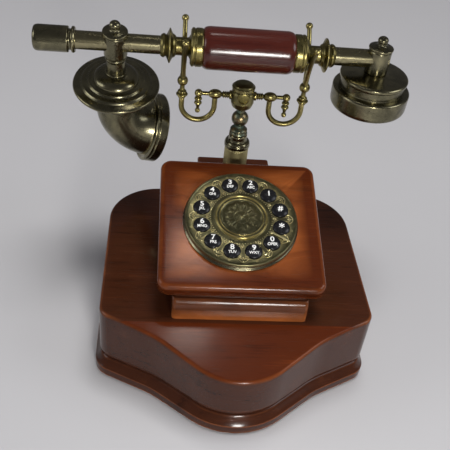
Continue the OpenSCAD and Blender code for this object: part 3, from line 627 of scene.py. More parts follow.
CASE_WOOD = LacqueredWood("case_wood", "wood_body")
# A darker copy of the case wood: painted shade on the base, its plinth and the neck under the case
SHADED_BASE_WOOD = LacqueredWood("shaded_base_wood", "wood_body", deep=(0.018, 0.006, 0.003), body=(0.048, 0.014, 0.006),
    warm=(0.084, 0.025, 0.010))
DARK_WOOD = LacqueredWood("dark_wood", "wood_dark", deep=(0.018, 0.004, 0.003), body=(0.038, 0.008, 0.005),
    warm=(0.066, 0.015, 0.008), edge_highlight_strength=0.35)
GRIP_WOOD = LacqueredWood("grip_wood", "wood_dark", deep=(0.026, 0.005, 0.004), body=(0.058, 0.010, 0.006),
    warm=(0.100, 0.022, 0.010), gloss=0.16, coat=0.45, coat_rough=0.17, level=0.3)
BRASS = AgedBrass("aged_brass", "brass", patina=(0.055, 0.048, 0.020), metal=(0.23, 0.195, 0.072),
    rubbed=(0.66, 0.55, 0.22), shine=0.18, clouds=0.55, wear=0.8)
DIAL_BRASS = AgedBrass("dial_brass", "dial_brass", patina=(0.048, 0.047, 0.026),
    metal=(0.200, 0.188, 0.100), rubbed=(0.66, 0.58, 0.28), shine=0.20, wear=0.8, clouds=0.6)
GILT = AgedBrass("gilt_brass", "dial_brass", patina=(0.16, 0.12, 0.04), metal=(0.52, 0.42, 0.15),
    rubbed=(0.85, 0.74, 0.38), shine=0.20, wear=0.9, clouds=0.3)
BRONZE = AgedBrass("bronze", "bronze", patina=(0.045, 0.042, 0.028), metal=(0.200, 0.184, 0.115),
    rubbed=(0.56, 0.49, 0.27), shine=0.11, wear=0.75, clouds=0.6)
POST_BRASS = AgedBrass("post_brass", "brass", patina=(0.085, 0.075, 0.035), metal=(0.62, 0.55, 0.28),
    rubbed=(0.80, 0.70, 0.36), shine=0.38, clouds=0.35)
HUB_BRASS = AgedBrass("hub_brass", "bronze", patina=(0.050, 0.044, 0.024), metal=(0.210, 0.185, 0.080),
    rubbed=(0.50, 0.43, 0.20), shine=0.22, wear=0.8, clouds=0.55)
VERDIGRIS = AgedBrass("verdigris_brass", "verdigris_brass", metal=(0.22, 0.16, 0.085),
    rubbed=(0.52, 0.40, 0.20), tint_share=0.55)
KEY_BLACK = Moulded("key_black", "key_plastic", colour=(0.006, 0.006, 0.007), light=(0.014, 0.014, 0.016),
    rough=0.16, skin=0.05, level=0.35)
STOP_BRASS = Moulded("stop_brass", "brass_bright", colour=(0.42, 0.37, 0.17), light=(0.60, 0.54, 0.30),
    rough=0.30, skin=0.05)
KEY_WHITE = Moulded("key_white", "key_plastic", colour=(0.82, 0.82, 0.80), light=(0.90, 0.90, 0.88),
    rough=0.35, skin=0.05)
BLACK_PLASTIC = Moulded("black_plastic", "black_plastic", rough=0.42)
RUBBER = Moulded("rubber", "rubber", colour=(0.016, 0.016, 0.016), light=(0.034, 0.033, 0.032), rough=0.62,
    skin=0.3)
PLATE_PAINT = Moulded("plate_paint", "plate_steel", colour=(0.018, 0.018, 0.019),
    light=(0.040, 0.040, 0.040), rough=0.48, skin=0.25, grain=1500.0)
STEEL = PlainSteel("steel", "steel")
BOARD = CircuitBoard("circuit_board", "circuit_board")

CARRIED: dict[Finish, tuple[str, ...]] = {PLATE_PAINT: ("bottom_plate",),
    RUBBER: ("rubber_feet", "key_mat"), STEEL: ("bottom_screws", "ringer", "hook_spring", "plunger",
    "tie_rod", "capsules"), BOARD: ("key_board", "main_board"),
    BLACK_PLASTIC: ("line_jack", "cord_jack", "hook_switch", "handset_jack", "mouth_grille"),}


def settle(piece: bpy.types.Object, body: str, finish: Finish, *nodes: str) -> bpy.types.Object:
    """Gives a piece its finish and its body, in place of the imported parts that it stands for.

    Args:
        piece: The piece, in place at rest.
        body: The body that it moves with.
        finish: Its finish.
        *nodes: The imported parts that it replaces.

    Returns:
        The same piece.
    """
    smooth(piece)
    piece.data.materials.clear()
    piece.data.materials.append(finish.material)
    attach(piece, body)
    if nodes:
        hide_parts(*nodes)
    LOG.info("%s: %d faces, on %s", piece.name, len(piece.data.polygons), body)
    return piece


def reach(node: str) -> tuple[Vector, Vector]:
    """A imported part's lowest and highest corner in millimetres."""
    low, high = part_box(node)
    return low / MM, high / MM


# Wooden base and case


@dataclass
class WoodenBase:
    """Nosed base with a plinth moulding, a falling front and socket cut-outs at the back."""

    nose_r: float = 48
    flank: float = 37.5
    flank_run: float = 28.5
    hollow_r: float = 70
    flank_turn: float = 11
    side_r: float = 12
    back_r: float = 40
    wall: float = 9
    ledge: float = 11
    nose_drop: float = 9
    fold_y: float = -54.3
    fold_soft: float = 0.7
    edge_r: float = 2.6
    # faces in front of the fold that tilt up more than this wear the lighter case wood as painted light
    lit_slope_tilt: float = 0.4
    seam: float = 2.2
    falling_h: float = 12
    jack: tuple[float, float, float] = (13, 17, 12)

    def __post_init__(self) -> None:
        """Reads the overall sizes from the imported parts."""
        low, high = reach("base_body")
        self.half_w, self.back, self.nose = high.x, high.y, -low.y
        self.foot, self.top = low.z, high.z
        low, high = reach("base_plinth")
        self.lift, self.out = low.z, high.x - self.half_w

    def outline(self, d: float) -> list[Point]:
        """The plan of the base moved outwards by d, anticlockwise from the nose."""
        up, nose_y = math.radians(self.flank), -self.nose + self.nose_r
        side, back = max(self.side_r + d, 1), max(self.back_r + d, 1)
        start = Vector(((self.nose_r + d) * math.sin(up), nose_y - (self.nose_r + d) * math.cos(up)))
        bend = start + self.flank_run * Vector((math.cos(up), math.sin(up)))
        centre = bend + (self.hollow_r - d) * Vector((math.sin(up), -math.cos(up)))
        hollow = [tuple(centre + (self.hollow_r - d) * Vector((-math.sin(a), math.cos(a))))
            for a in fan(self.flank, self.flank - self.flank_turn, 6)]
        a = math.radians(self.flank - self.flank_turn)
        side_x = self.half_w + d - side
        side_y = hollow[-1][1] + (side + (side_x - hollow[-1][0]) * math.sin(a)) / math.cos(a)
        half = (arc(0, nose_y, self.nose_r + d, -90, -90 + self.flank, 16) + hollow
            + arc(side_x, side_y, side, self.flank - self.flank_turn - 90, 0, 12)
            + arc(self.half_w + d - back, self.back + d - back, back, 0, 90, 24))
        return half + [(-x, y) for x, y in reversed(half) if x > 0.001]

    def fall(self, points: np.ndarray) -> np.ndarray:
        """Lowers the top in front of the fold, easing the fold itself."""
        slope = self.nose_drop / (self.nose + self.fold_y)
        ahead = self.fold_y - points[:, 1]
        soft = np.clip(ahead + self.fold_soft, 0, 2 * self.fold_soft)
        drop = np.where(ahead < self.fold_soft, soft ** 2 / (4 * self.fold_soft), ahead)
        points[:, 2] -= np.where(points[:, 2] > self.foot + self.falling_h, drop * slope, 0)
        return points

    def body(self) -> None:
        """Builds the hollow wooden body with its socket cut-outs, its front slope painted lighter as if
        lit.
        """
        ceiling = self.top - self.wall
        layers = [(-self.wall, ceiling), (-self.wall, self.foot)]
        layers += eased([(-self.wall + 0.5, self.foot), (0, self.foot), (0, self.top),
            (-self.wall, self.top)], self.edge_r, 6)[1:-1]
        piece = Shape.slab(self.outline, layers).piece("wooden_base")
        work = bmesh.new()
        work.from_mesh(piece.data)
        for i in range(-2, 3):
            y = (self.fold_y + i * self.fold_soft / 2) * MM
            bmesh.ops.bisect_plane(work, geom=work.verts[:] + work.edges[:] + work.faces[:],
                plane_co=(0, y, 0), plane_no=(0, 1, 0))
        flat = np.array([v.co[:] for v in work.verts]) / MM
        for v, p in zip(work.verts, self.fall(flat)):
            v.co = Vector(p) * MM
        bmesh.ops.triangulate(work, faces=[f for f in work.faces if len(f.verts) > 4])
        work.to_mesh(piece.data)
        work.free()
        for node in ("line_jack", "cord_jack"):
            low, high = reach(node)
            middle = (low + high) / 2
            middle.y = self.back - self.jack[1] / 2 + 1
            carve(piece, block(self.jack, middle, 0.05))
        settle(piece, "root", SHADED_BASE_WOOD, "base_body")
        # Painted light: the top in front of the fold wears the lighter case wood, as if lit, and the rest
        # keeps the darker shaded copy
        piece.data.materials.append(CASE_WOOD.material)
        for face in piece.data.polygons:
            if face.normal.z > self.lit_slope_tilt and face.center.y < self.fold_y * MM:
                face.material_index = 1

    def plinth(self) -> None:
        """Builds the plinth: upright side, sloping ledge and the groove under the body."""
        d = self.out
        rim = [(d - 0.6, self.lift), (d, self.lift + 0.6), (d, 8.5), (d - 0.15, 8.9), (d - 0.5, 9.2)]
        slope = [(d - 1.4, 10.3), (d - 2.5, 11.9), (d - 3.6, 13.7), (d - 4.5, 15.0), (d - 5.1, 15.6)]
        neck = [(-self.seam, 15.8), (-self.seam, self.foot)]
        inside = [(-self.wall - self.ledge, self.foot), (-self.wall - self.ledge, 5), (-self.wall, 5),
            (-self.wall, self.lift)]
        piece = Shape.slab(self.outline, rim + slope + neck + inside, closed=True).piece("plinth_moulding")
        settle(piece, "root", SHADED_BASE_WOOD, "base_plinth")

    def build(self) -> None:
        """Builds the base."""
        self.body()
        self.plinth()


@dataclass
class SlopingCase:
    """Neck and case that carry the dial, and the dark block under the post."""

    width: float = 115.4
    length: float = 110.4
    thickness: float = 11
    corner: float = 8
    top_edge: float = 3.6
    low_edge: float = 2.0
    flat_in: float = 1.8
    seat_half: float = 1.3
    neck_corner: float = 3
    neck_inset: float = 10.7
    sweep: float = 5
    sweep_h: float = 9
    slope: float = 15.67
    pocket_depth: float = 5

    def __post_init__(self) -> None:
        """Finds the case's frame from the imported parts."""
        self.pitch = turned_by(self.slope, "X")
        up = self.pitch @ Vector((0, 0, 1))
        base = (reach("dial_seat")[0] + reach("dial_seat")[1]) / 2
        self.face = Matrix.Translation(base - up * self.seat_half) @ self.pitch
        self.base_top = reach("base_body")[1].z

    def plan(self, d: float) -> list[Point]:
        """The case's outline moved outwards by d."""
        return rounded_rectangle(self.width + 2 * d, self.length + 2 * d, self.corner + d, 10)

    def case(self) -> None:
        """Builds the case with rounded edges and the pocket under the dial."""
        def bead(r: float, level: float, way: int) -> list[Point]:
            """A quarter round edge that rises to a level."""
            return [(-r * (1 - math.cos(a)), level - way * r * (1 - math.sin(a))) for a in fan(0, 90, 7)]

        low = list(reversed(bead(self.low_edge, -self.thickness, -1)))
        flat = -self.top_edge - self.flat_in
        layers = [(flat, -self.thickness)] + low + bead(self.top_edge, 0, 1) + [(flat, 0)]
        piece = Shape.slab(self.plan, layers).moved(self.face).piece("sloping_case")
        pocket = reach("key_board")[1].x + 0.5
        carve(piece, cylinder(pocket, -self.pocket_depth, 1, 96).moved(self.face))
        settle(piece, "root", CASE_WOOD, "cabinet_case")

    def neck(self) -> None:
        """Builds the neck, with its front bulging out under the case."""
        low, high = reach("cabinet_neck")
        front, back = low.y + self.sweep, high.y
        under = self.face @ Vector((0, 0, -self.thickness + 0.4))
        rise = math.tan(math.radians(self.slope))
        lip = under.z + (front - under.y) * rise - 1.6

        def layer(run: float, z: float) -> list[tuple[float, float, float]]:
            """One level of the neck, its front moved forwards by run."""
            width = self.width - 2 * self.neck_inset
            plan = rounded_rectangle(width, back - front + run, self.neck_corner, 6)
            return [(x, y + (back + front - run) / 2, z) for x, y in plan]

        loops = [layer(self.sweep, self.base_top - 0.3)]
        loops += [layer(self.sweep * math.sin(a), lip - self.sweep_h * (1 - math.cos(a)))
            for a in fan(90, 0, 10)]
        loops.append([(x, y, under.z + (y - under.y) * rise) for x, y, _ in layer(0, 0)])
        # The neck wears the darker shaded wood as painted shade under the case's overhang
        settle(Shape.skin(loops).piece("case_neck"), "root", SHADED_BASE_WOOD, "cabinet_neck")

    def post_block(self) -> None:
        """Builds the block behind the case."""
        low, high = reach("post_block")
        piece = block(high - low, (low + high) / 2, 1.6).piece("rear_block")
        settle(piece, "root", DARK_WOOD, "post_block")

    def build(self) -> None:
        """Builds the case."""
        self.case()
        self.neck()
        self.post_block()


# Dial


@dataclass
class Dial:
    """Seat ring, engraved plate, medallion, finger stop and twelve keys."""

    case: SlopingCase
    seat_h: float = 2.6
    plate_t: float = 2.9
    plate_r: float = 40
    key_circle: float = 28.9
    key_r: float = 5.9
    key_gap: float = 0.35
    flange_r: float = 7.0
    medal_r: float = 18.8
    key_rise: float = 2.1
    dome: float = 1.5
    digit_h: float = 6.0
    letter_h: float = 2.9
    raised: float = 0.12
    marks: str = "1 2ABC 3DEF 4GHI 5JKL 6MNO 7PRS 8TUV 9WXY 0OPER * #"
    first_angle: float = 45
    named: dict[str, str] = field(default_factory=lambda: {"*": "star", "#": "hash"})

    @property
    def keys(self) -> list[tuple[str, float, str, str]]:
        """Each key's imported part, place round the dial in degrees, figure and letters."""
        marks = self.marks.split()
        step = 360 / len(marks)
        return [("key_" + self.named.get(mark[0], mark[0]), (self.first_angle + step * i) % 360, mark[0],
            mark[1:]) for i, mark in enumerate(marks)]

    @property
    def plate_top(self) -> float:
        """Height of the plate's face above the case."""
        return self.seat_h + self.plate_t

    def at(self, h: float) -> Matrix:
        """The dial's frame at a height above the case."""
        return self.case.face @ moved_by(0, 0, h)

    def around(self, angle: float, r: float) -> Matrix:
        """A place on the dial, upright, at an angle and a radius."""
        a = math.radians(angle)
        return moved_by(r * math.cos(a), r * math.sin(a), 0)

    def seat(self) -> None:
        """Builds the ring under the plate."""
        r = self.plate_r
        inner = self.key_circle + self.flange_r + 0.5
        ring = Shape.turned([(inner, 0), (r + 1.1, 0), (r + 1.1, 0.9), (r + 0.3, 1.5), (r - 0.2, 1.9),
            (r - 0.3, self.seat_h), (inner, self.seat_h)], 0.35, 160)
        settle(ring.moved(self.at(0)).piece("dial_seat_ring"), "root", BRONZE, "dial_seat")

    def plate(self) -> None:
        """Builds the plate with its rim and key holes."""
        r, t = self.plate_r, self.plate_t
        profile = [(0, 0), (r - 0.5, 0), (r, 0.5), (r, t - 0.9), (r - 0.6, t - 0.1), (r - 1.3, t - 0.1),
            (r - 1.9, t - 0.5), (r - 2.3, t - 0.45), (self.medal_r + 2.6, t - 0.35),
            (self.medal_r + 1.4, t - 0.1), (self.medal_r + 0.05, t - 0.1), (self.medal_r + 0.05, t - 1.2),
            (0, t - 1.2)]
        piece = Shape.turned(profile, 0.3, 192).moved(self.at(self.seat_h)).piece("dial_face")
        for _, angle, _, _ in self.keys:
            hole = cylinder(self.key_r + self.key_gap, -1, t + 1)
            carve(piece, hole.moved(self.at(self.seat_h) @ self.around(angle, self.key_circle)))
        settle(piece, "root", DIAL_BRASS, "dial_plate")

    def scroll(self, start: Vector, heading: float, curl: int, length: float) -> Shape:
        """One engraved scroll that curls up as it goes.

        Args:
            start: Where it begins, on the plate.
            heading: Its first direction in degrees.
            curl: 1 to curl to the left, -1 to the right.
            length: Its length.

        Returns:
            The scroll as a fine raised line.
        """
        path, p, a, steps = [], start.copy(), math.radians(heading), 26
        for i in range(steps + 1):
            path.append((p.x, p.y, 0))
            a += curl * (0.06 + 0.42 * (i / steps) ** 2)
            p += Vector((math.cos(a), math.sin(a))) * (length / steps) * (1.25 - 0.6 * i / steps)
        return Shape.swept(path, lambda s: 0.34 * (1 - 0.45 * s) * min(1, 6 * s + 0.3), 6)

    def ornament(self) -> None:
        """Builds the scrollwork between the keys and along the rim."""
        parts = []
        level = moved_by(0, 0, self.plate_top - 0.44)
        for i in range(12):
            spin = turned_by(30 * i, "Z") @ level
            for way in (-1, 1):
                outer = self.scroll(Vector((37.0, way * 0.3)), 90 * way + way * 20, way, 9.5)
                leaf = self.scroll(Vector((35.2, way * 0.2)), 180 - way * 28, -way, 6.0)
                inner = self.scroll(Vector((22.4, way * 0.2)), way * 40, -way, 4.2)
                parts += [s.moved(spin) for s in (outer, leaf, inner)]
            tip = Shape.turned([(0, -0.3), (0.5, -0.2), (0.55, 0.05), (0.3, 0.3), (0, 0.36)], sides=12)
            parts += [tip.moved(spin @ moved_by(x, 0, 0)) for x in (36.4, 33.4, 24.4)]
        for i in range(72):
            bead = Shape.turned([(0, -0.25), (0.38, -0.2), (0.4, 0.02), (0.2, 0.22), (0, 0.26)], sides=8)
            parts.append(bead.moved(turned_by(5 * i, "Z") @ level @ moved_by(self.medal_r + 3.1, 0, 0)))
        settle(joined(parts).moved(self.at(0)).piece("dial_scrollwork"), "root", GILT)

    def relief(self, r: float, a: float) -> float:
        """Height of the medallion's face at a radius and an angle.

        Args:
            r: Radius.
            a: Angle in radians.

        Returns:
            Height above the medallion's foot.
        """
        edge = self.medal_r - r
        rings = 0.95 * math.exp(-((edge - 0.9) / 0.55) ** 2) + 0.55 * math.exp(-((edge - 3.5) / 0.5) ** 2)
        height = 1.45 + rings
        if 5.2 < r < 13.2:
            share = (r - 5.2) / 8
            petal = abs(math.cos(6 * a)) ** 0.6
            height += 0.55 * petal * math.sin(math.pi * share ** 0.8) ** 0.7
        if 8.6 < r < 14.4:
            tip = abs(math.sin(6 * a)) ** 3
            height += 0.4 * tip * math.sin(math.pi * (r - 8.6) / 5.8)
        if r <= 5.2:
            height += 0.45 * abs(math.cos(3 * a)) ** 0.7 * math.sin(math.pi * min(r / 5.2, 1)) ** 0.8
        height += 0.7 * math.exp(-(r / 1.5) ** 2) + 0.3 * math.exp(-((r - 5.3) / 0.3) ** 2)
        return height

    def medallion(self) -> None:
        """Builds the medallion: two raised rings round a rosette."""
        rings, tiny = 78, 0.001
        radii = [self.medal_r * (1 - i / rings) for i in range(rings)] + [tiny]

        def ring(r: float, height: Callable[[float], float]) -> list[tuple[float, float, float]]:
            """One ring of the medallion, its height given for each angle."""
            return [(r * math.cos(a), r * math.sin(a), height(a)) for a in circle(216)]

        loops = [ring(r, lambda a: 0) for r in (tiny, self.medal_r)]
        loops += [ring(r, lambda a, r=r: self.relief(r, a)) for r in radii]
        lie = self.at(self.plate_top - 1.2)
        settle(Shape.skin(loops).moved(lie).piece("dial_medallion"), "root", DIAL_BRASS, "medallion")
        bands = [Shape.turned([(r - w, 1.2), (r + w, 1.2), (r + w * 0.9, h - 0.5), (r + w * 0.4, h),
            (r - w * 0.4, h), (r - w * 0.9, h - 0.5)], 0.25, 160) for r, w,
            h in ((self.medal_r - 0.85, 0.8, 2.6), (self.medal_r - 3.3, 0.5, 2.3))]
        settle(joined(bands).moved(lie).piece("medallion_rings"), "root", GILT)

    def stop(self) -> None:
        """Builds the narrow finger stop between the star and the nought."""
        start, end = self.key_circle - 5.6, self.plate_r - 1.6
        lie = self.at(self.plate_top) @ turned_by(330, "Z")
        bar = block((end - start, 0.9, 1.3), ((start + end) / 2, 0, 0.35), 0.3)
        settle(bar.moved(lie).piece("dial_finger_stop"), "root", STOP_BRASS, "finger_stop")

    def cap_height(self, r: float) -> float:
        """Height of a key's face, from its middle, at a radius."""
        return -self.dome * min(r / self.key_r, 1) ** 3.2

    def lettering(self, text: str, size: float, lift: float, weight: float) -> Shape:
        """Raised white figures that follow the key's dome.

        Args:
            text: What to write.
            size: Height of the type.
            lift: Height of the line's middle above the key's middle.
            weight: How much the strokes are thickened.

        Returns:
            The figures about the middle of the key's face.
        """
        curve = bpy.data.curves.new("figures", "FONT")
        curve.body, curve.size, curve.offset = text, size, weight
        curve.align_x, curve.align_y = "CENTER", "CENTER"
        curve.extrude, curve.resolution_u = self.raised, 5
        thing = bpy.data.objects.new("figures", curve)
        bpy.context.scene.collection.objects.link(thing)
        mesh = bpy.data.meshes.new_from_object(thing.evaluated_get(bpy.context.evaluated_depsgraph_get()))
        flat = [(v.co.x, v.co.y + lift, v.co.z + self.raised / 2) for v in mesh.vertices]
        points = [(x, y, z + self.cap_height(math.hypot(x, y))) for x, y, z in flat]
        faces = tuple(tuple(f.vertices) for f in mesh.polygons)
        bpy.data.objects.remove(thing)
        return Shape(np.array(points), faces)

    def key(self, node: str, angle: float, digit: str, letters: str) -> None:
        """Builds one key with its figures.

        Args:
            node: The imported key, which names the body too.
            angle: Its place round the dial.
            digit: The figure on it.
            letters: The small letters under the figure.
        """
        top = self.plate_top + self.key_rise
        lie = self.at(top) @ self.around(angle, self.key_circle)
        r, foot = self.key_r, self.seat_h - 1.4 - top
        crown = [(r * i / 14, self.cap_height(r * i / 14)) for i in range(14, -1, -1)]
        profile = [(0, foot - 0.4), (2.6, foot - 0.4), (2.6, foot), (self.flange_r, foot),
            (self.flange_r, foot + 1.3), (r, foot + 1.3)] + crown
        cap = Shape.turned(profile, 0.25, 64).moved(lie).piece(node + "_cap")
        settle(cap, node, KEY_BLACK, node)
        tall = self.digit_h * (1.5 if digit == "*" else 1.0)
        lift = 1.6 if letters else (-1.3 if digit == "*" else 0.2)
        figures = self.lettering(digit, tall, lift, 0.11)
        if letters:
            figures = figures + self.lettering(letters, self.letter_h, -2.3, 0.045)
        settle(figures.moved(lie).piece(node + "_figures"), node, KEY_WHITE)

    def build(self) -> None:
        """Builds the dial."""
        self.seat()
        self.plate()
        self.ornament()
        self.medallion()
        self.stop()
        for node, angle, digit, letters in self.keys:
            self.key(node, angle, digit, letters)


# Post and cradle


@dataclass
class Cradle:
    """Brass post with the sprung cradle: baluster, hub, crossbars, hooks and forks."""

    rod_r: float = 2.0
    prong_r: float = 1.9
    prong_bend_r: float = 59
    prong_spread: float = 20.5
    hub_w: float = 17.2
    boss_r: float = 4.7
    boss_rise: float = 1.8
    hook_in: float = 20.3
    fork_x: float = 44.6
    hook_drop: float = 10.2
    prong_foot_drop: float = 32.63
    prong_start: float = 5.5
    bar_rise: float = 10.2

    def __post_init__(self) -> None:
        """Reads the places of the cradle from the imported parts."""
        tube_low, tube_high = reach("post_tube")
        self.y = (tube_low.y + tube_high.y) / 2
        self.post_foot, self.post_top = tube_low.z, tube_high.z
        self.post_r = (tube_high.x - tube_low.x) / 2 - 0.8
        self.collar_top = reach("post_collar")[1].z
        self.foot = reach("cradle_baluster")[0].z
        self.hub_z = reach("cradle_block")[0].z
        self.bar_z = self.hub_z + self.bar_rise
        self.cap_z = reach("cradle_cap")[0].z
        self.bar_end = (self.hook_in + self.fork_x) / 2
        low, high = reach("grip")
        self.handset_z = (low.z + high.z) / 2

    def upright(self, z: float, x: float = 0.0) -> Matrix:
        """A frame on the post's axis, or beside it by x, at a height."""
        return moved_by(x, self.y, z)

    def post(self) -> None:
        """Builds the post tube and its collar."""
        r, h = self.post_r, self.post_top - self.post_foot
        tube = Shape.turned([(0, 0), (r + 0.8, 0), (r + 0.8, 1.4), (r, 2.4), (r, h - 1.2),
            (r - 0.3, h - 0.9), (r, h - 0.6), (r, h), (0, h)], 0.4)
        settle(tube.moved(self.upright(self.post_foot)).piece("brass_post"), "root", POST_BRASS,
            "post_tube")
        top = self.collar_top - self.post_top
        collar = Shape.turned([(0, 0), (r + 0.4, 0), (r + 0.6, 0.9), (r + 0.6, 2.6), (r + 0.2, 3.2),
            (r + 0.4, 3.9), (r - 0.5, 5.2), (7.3, 5.7), (6.9, 7.4), (7.1, top - 1.0), (6.8, top),
            (0, top)], 0.5)
        settle(collar.moved(self.upright(self.post_top)).piece("bronze_collar"), "root", BRONZE,
            "post_collar")

    def baluster(self) -> None:
        """Builds the turned stem and ball under the hub."""
        f, ball, r = self.foot, self.bar_z - 19.2, 6.4
        turned = [(0, f), (6.6, f), (7.0, f + 0.8), (6.6, f + 1.9), (6.1, f + 2.4), (6.6, f + 3.2),
            (6.4, f + 4.2), (5.2, f + 5.2), (3.4, f + 6.2)]
        globe = arc(0, ball, r, -62, 62, 20)
        stem = [(2.7, ball + r + 0.4), (2.9, self.hub_z - 1), (3.8, self.hub_z), (0, self.hub_z + 0.2)]
        piece = Shape.turned(eased(turned, 0.4) + globe
            + stem).moved(self.upright(0)).piece("cradle_baluster_turned")
        settle(piece, "cradle", VERDIGRIS, "cradle_baluster")

    def hub(self) -> None:
        """Builds the hub with its boss and the stepped cap."""
        h = self.hub_w / 2
        barrel = Shape.turned([(0, 0), (5.2, 0), (7.4, 1.9), (h - 0.4, 4.4), (h, 5.6), (h, 13.2),
            (h - 0.5, 13.8), (h - 0.8, 14.6), (h - 0.2, 15.6), (h - 0.2, 17), (0, 17)], 0.5)
        piece = barrel.moved(self.upright(self.hub_z)).piece("cradle_hub")
        settle(piece, "cradle", HUB_BRASS, "cradle_block")
        r, far = self.boss_r, h + 0.9
        dome = [(0, far), (r - 2.1, far - 0.1), (r - 0.8, far - 0.4), (r - 0.2, far - 0.9), (r, far - 1.6),
            (r, -2), (0, -2)]
        lie = self.upright(self.bar_z + self.boss_rise) @ turned_by(90, "X")
        settle(Shape.turned(dome, 0.4, 64).moved(lie).piece("cradle_hub_boss"), "cradle", BRASS)
        cap = Shape.turned([(0, 0), (h - 0.1, 0), (h, 0.3), (h, 0.9), (h - 0.8, 1.3), (h - 1.4, 2.3),
            (h - 2.4, 3.0), (h - 3.8, 3.5), (3.2, 3.85), (0, 3.95)], 0.45)
        settle(cap.moved(self.upright(self.cap_z)).piece("cradle_top_cap"), "cradle", HUB_BRASS,
            "cradle_cap")

    def bar(self) -> Shape:
        """One turned crossbar along X, from the hub to its end ball."""
        start, end = self.hub_w / 2, self.bar_end
        ribs = [(0, start - 6), (1.7, start - 6), (1.7, start - 0.1), (3.3, start), (3.3, start + 1.2)]
        for i in range(3):
            at = start + 1.9 + 1.5 * i
            ribs += [(1.9, at), (2.65, at + 0.45), (2.65, at + 0.8), (1.9, at + 1.3)]
        bulge = [(3.6 * math.cos(a), self.hook_in + 5.2 * math.sin(a)) for a in fan(-66, 66, 16)]
        neck = [(1.5, self.hook_in + 6.2), (1.5, end - 3)]
        knob = arc(0, end, 3, -60, 90, 12)
        return Shape.turned(eased(ribs, 0.25) + bulge + neck + knob, sides=48)

    def bars(self) -> None:
        """Builds both crossbars and the pendants under their ends."""
        both = joined(self.bar().moved(self.upright(self.bar_z) @ turned_by(90 * side.value, "Y"))
            for side in Side)
        settle(both.piece("turned_crossbars"), "cradle", BRASS, "crossbars")
        drop = eased([(0, 0), (1.1, -0.6), (1.1, -3.0), (2.6, -3.6), (2.9, -4.8), (1.7, -6), (2.6, -7.0),
            (3, -8.0), (1.8, -9.6), (1.1, -11.6), (1.1, -12.7)], 0.4) + arc(0, -14.3, 1.95, 50, -90, 8)
        knobs = joined(Shape.turned(drop, sides=40).moved(self.upright(self.bar_z,
            side.value * self.bar_end)) for side in Side)
        settle(knobs.piece("turned_pendants"), "cradle", BRASS, "pendants")

    def hook(self, side: Side) -> None:
        """Builds one open hook: inner arm, half round bend, outer arm."""
        low = self.bar_z - self.hook_drop
        bend = (self.fork_x - self.hook_in) / 2
        inner = [(self.hook_in, self.bar_z - i * self.hook_drop / 5) for i in range(5)]
        round_part = arc(self.bar_end, low, bend, 180, 360, 40)
        outer = [(self.fork_x, low + i * (self.hook_drop - 4.2) / 4) for i in range(1, 5)]
        path = [(side.value * x, self.y, z) for x, z in inner + round_part + outer]
        rod = Shape.swept(path, lambda s: self.rod_r, 28)
        name = side.name.lower()
        settle(rod.piece(f"open_hook_{name}"), "cradle", BRASS, f"hook_{name}")

    def fork(self, side: Side) -> None:
        """Builds one fork: collar, ball, stem and two curved prongs with ball tips."""
        z = self.bar_z - 0.8
        ball, r = self.bar_z + 9.4, 3.9
        turned = [(0, z - 3.4), (2.6, z - 3.4), (3, z - 2.6), (2.4, z - 1.8), (4.2, z - 1.1),
            (4.35, z - 0.6), (4.1, z), (2.7, z + 0.7), (3.3, z + 1.5), (3.1, z + 2.1), (1.9, z + 3.2),
            (1.7, z + 5)]
        stem = [(2.2, ball + 4.4), (1.9, ball + 6.2), (0, ball + 6.6)]
        whole = Shape.turned(eased(turned, 0.35) + arc(0, ball, r, -64, 64, 16) + stem, sides=48)
        foot, bend = self.handset_z - self.prong_foot_drop, self.prong_bend_r
        far = math.acos(1 - self.prong_spread / bend)
        for way in (-1, 1):
            path = [(0, way * bend * (1 - math.cos(a)), foot + bend * math.sin(a))
                for a in fan(self.prong_start, math.degrees(far), 30)]
            whole = whole + Shape.swept(path, lambda s: self.prong_r * (1 - 0.12 * s), 24)
            tip = Shape.turned(arc(0, 0, 2.6, -90, 90, 16), sides=32)
            whole = whole + tip.moved(Matrix.Translation(path[-1]))
        name = side.name.lower()
        piece = whole.moved(self.upright(0, side.value * self.fork_x)).piece(f"pronged_fork_{name}")
        settle(piece, "cradle", BRASS, f"fork_{name}")

    def build(self) -> None:
        """Builds the post and the cradle."""
        self.post()
        self.baluster()
        self.hub()
        self.bars()
        for side in Side:
            self.hook(side)
            self.fork(side)


# Handset


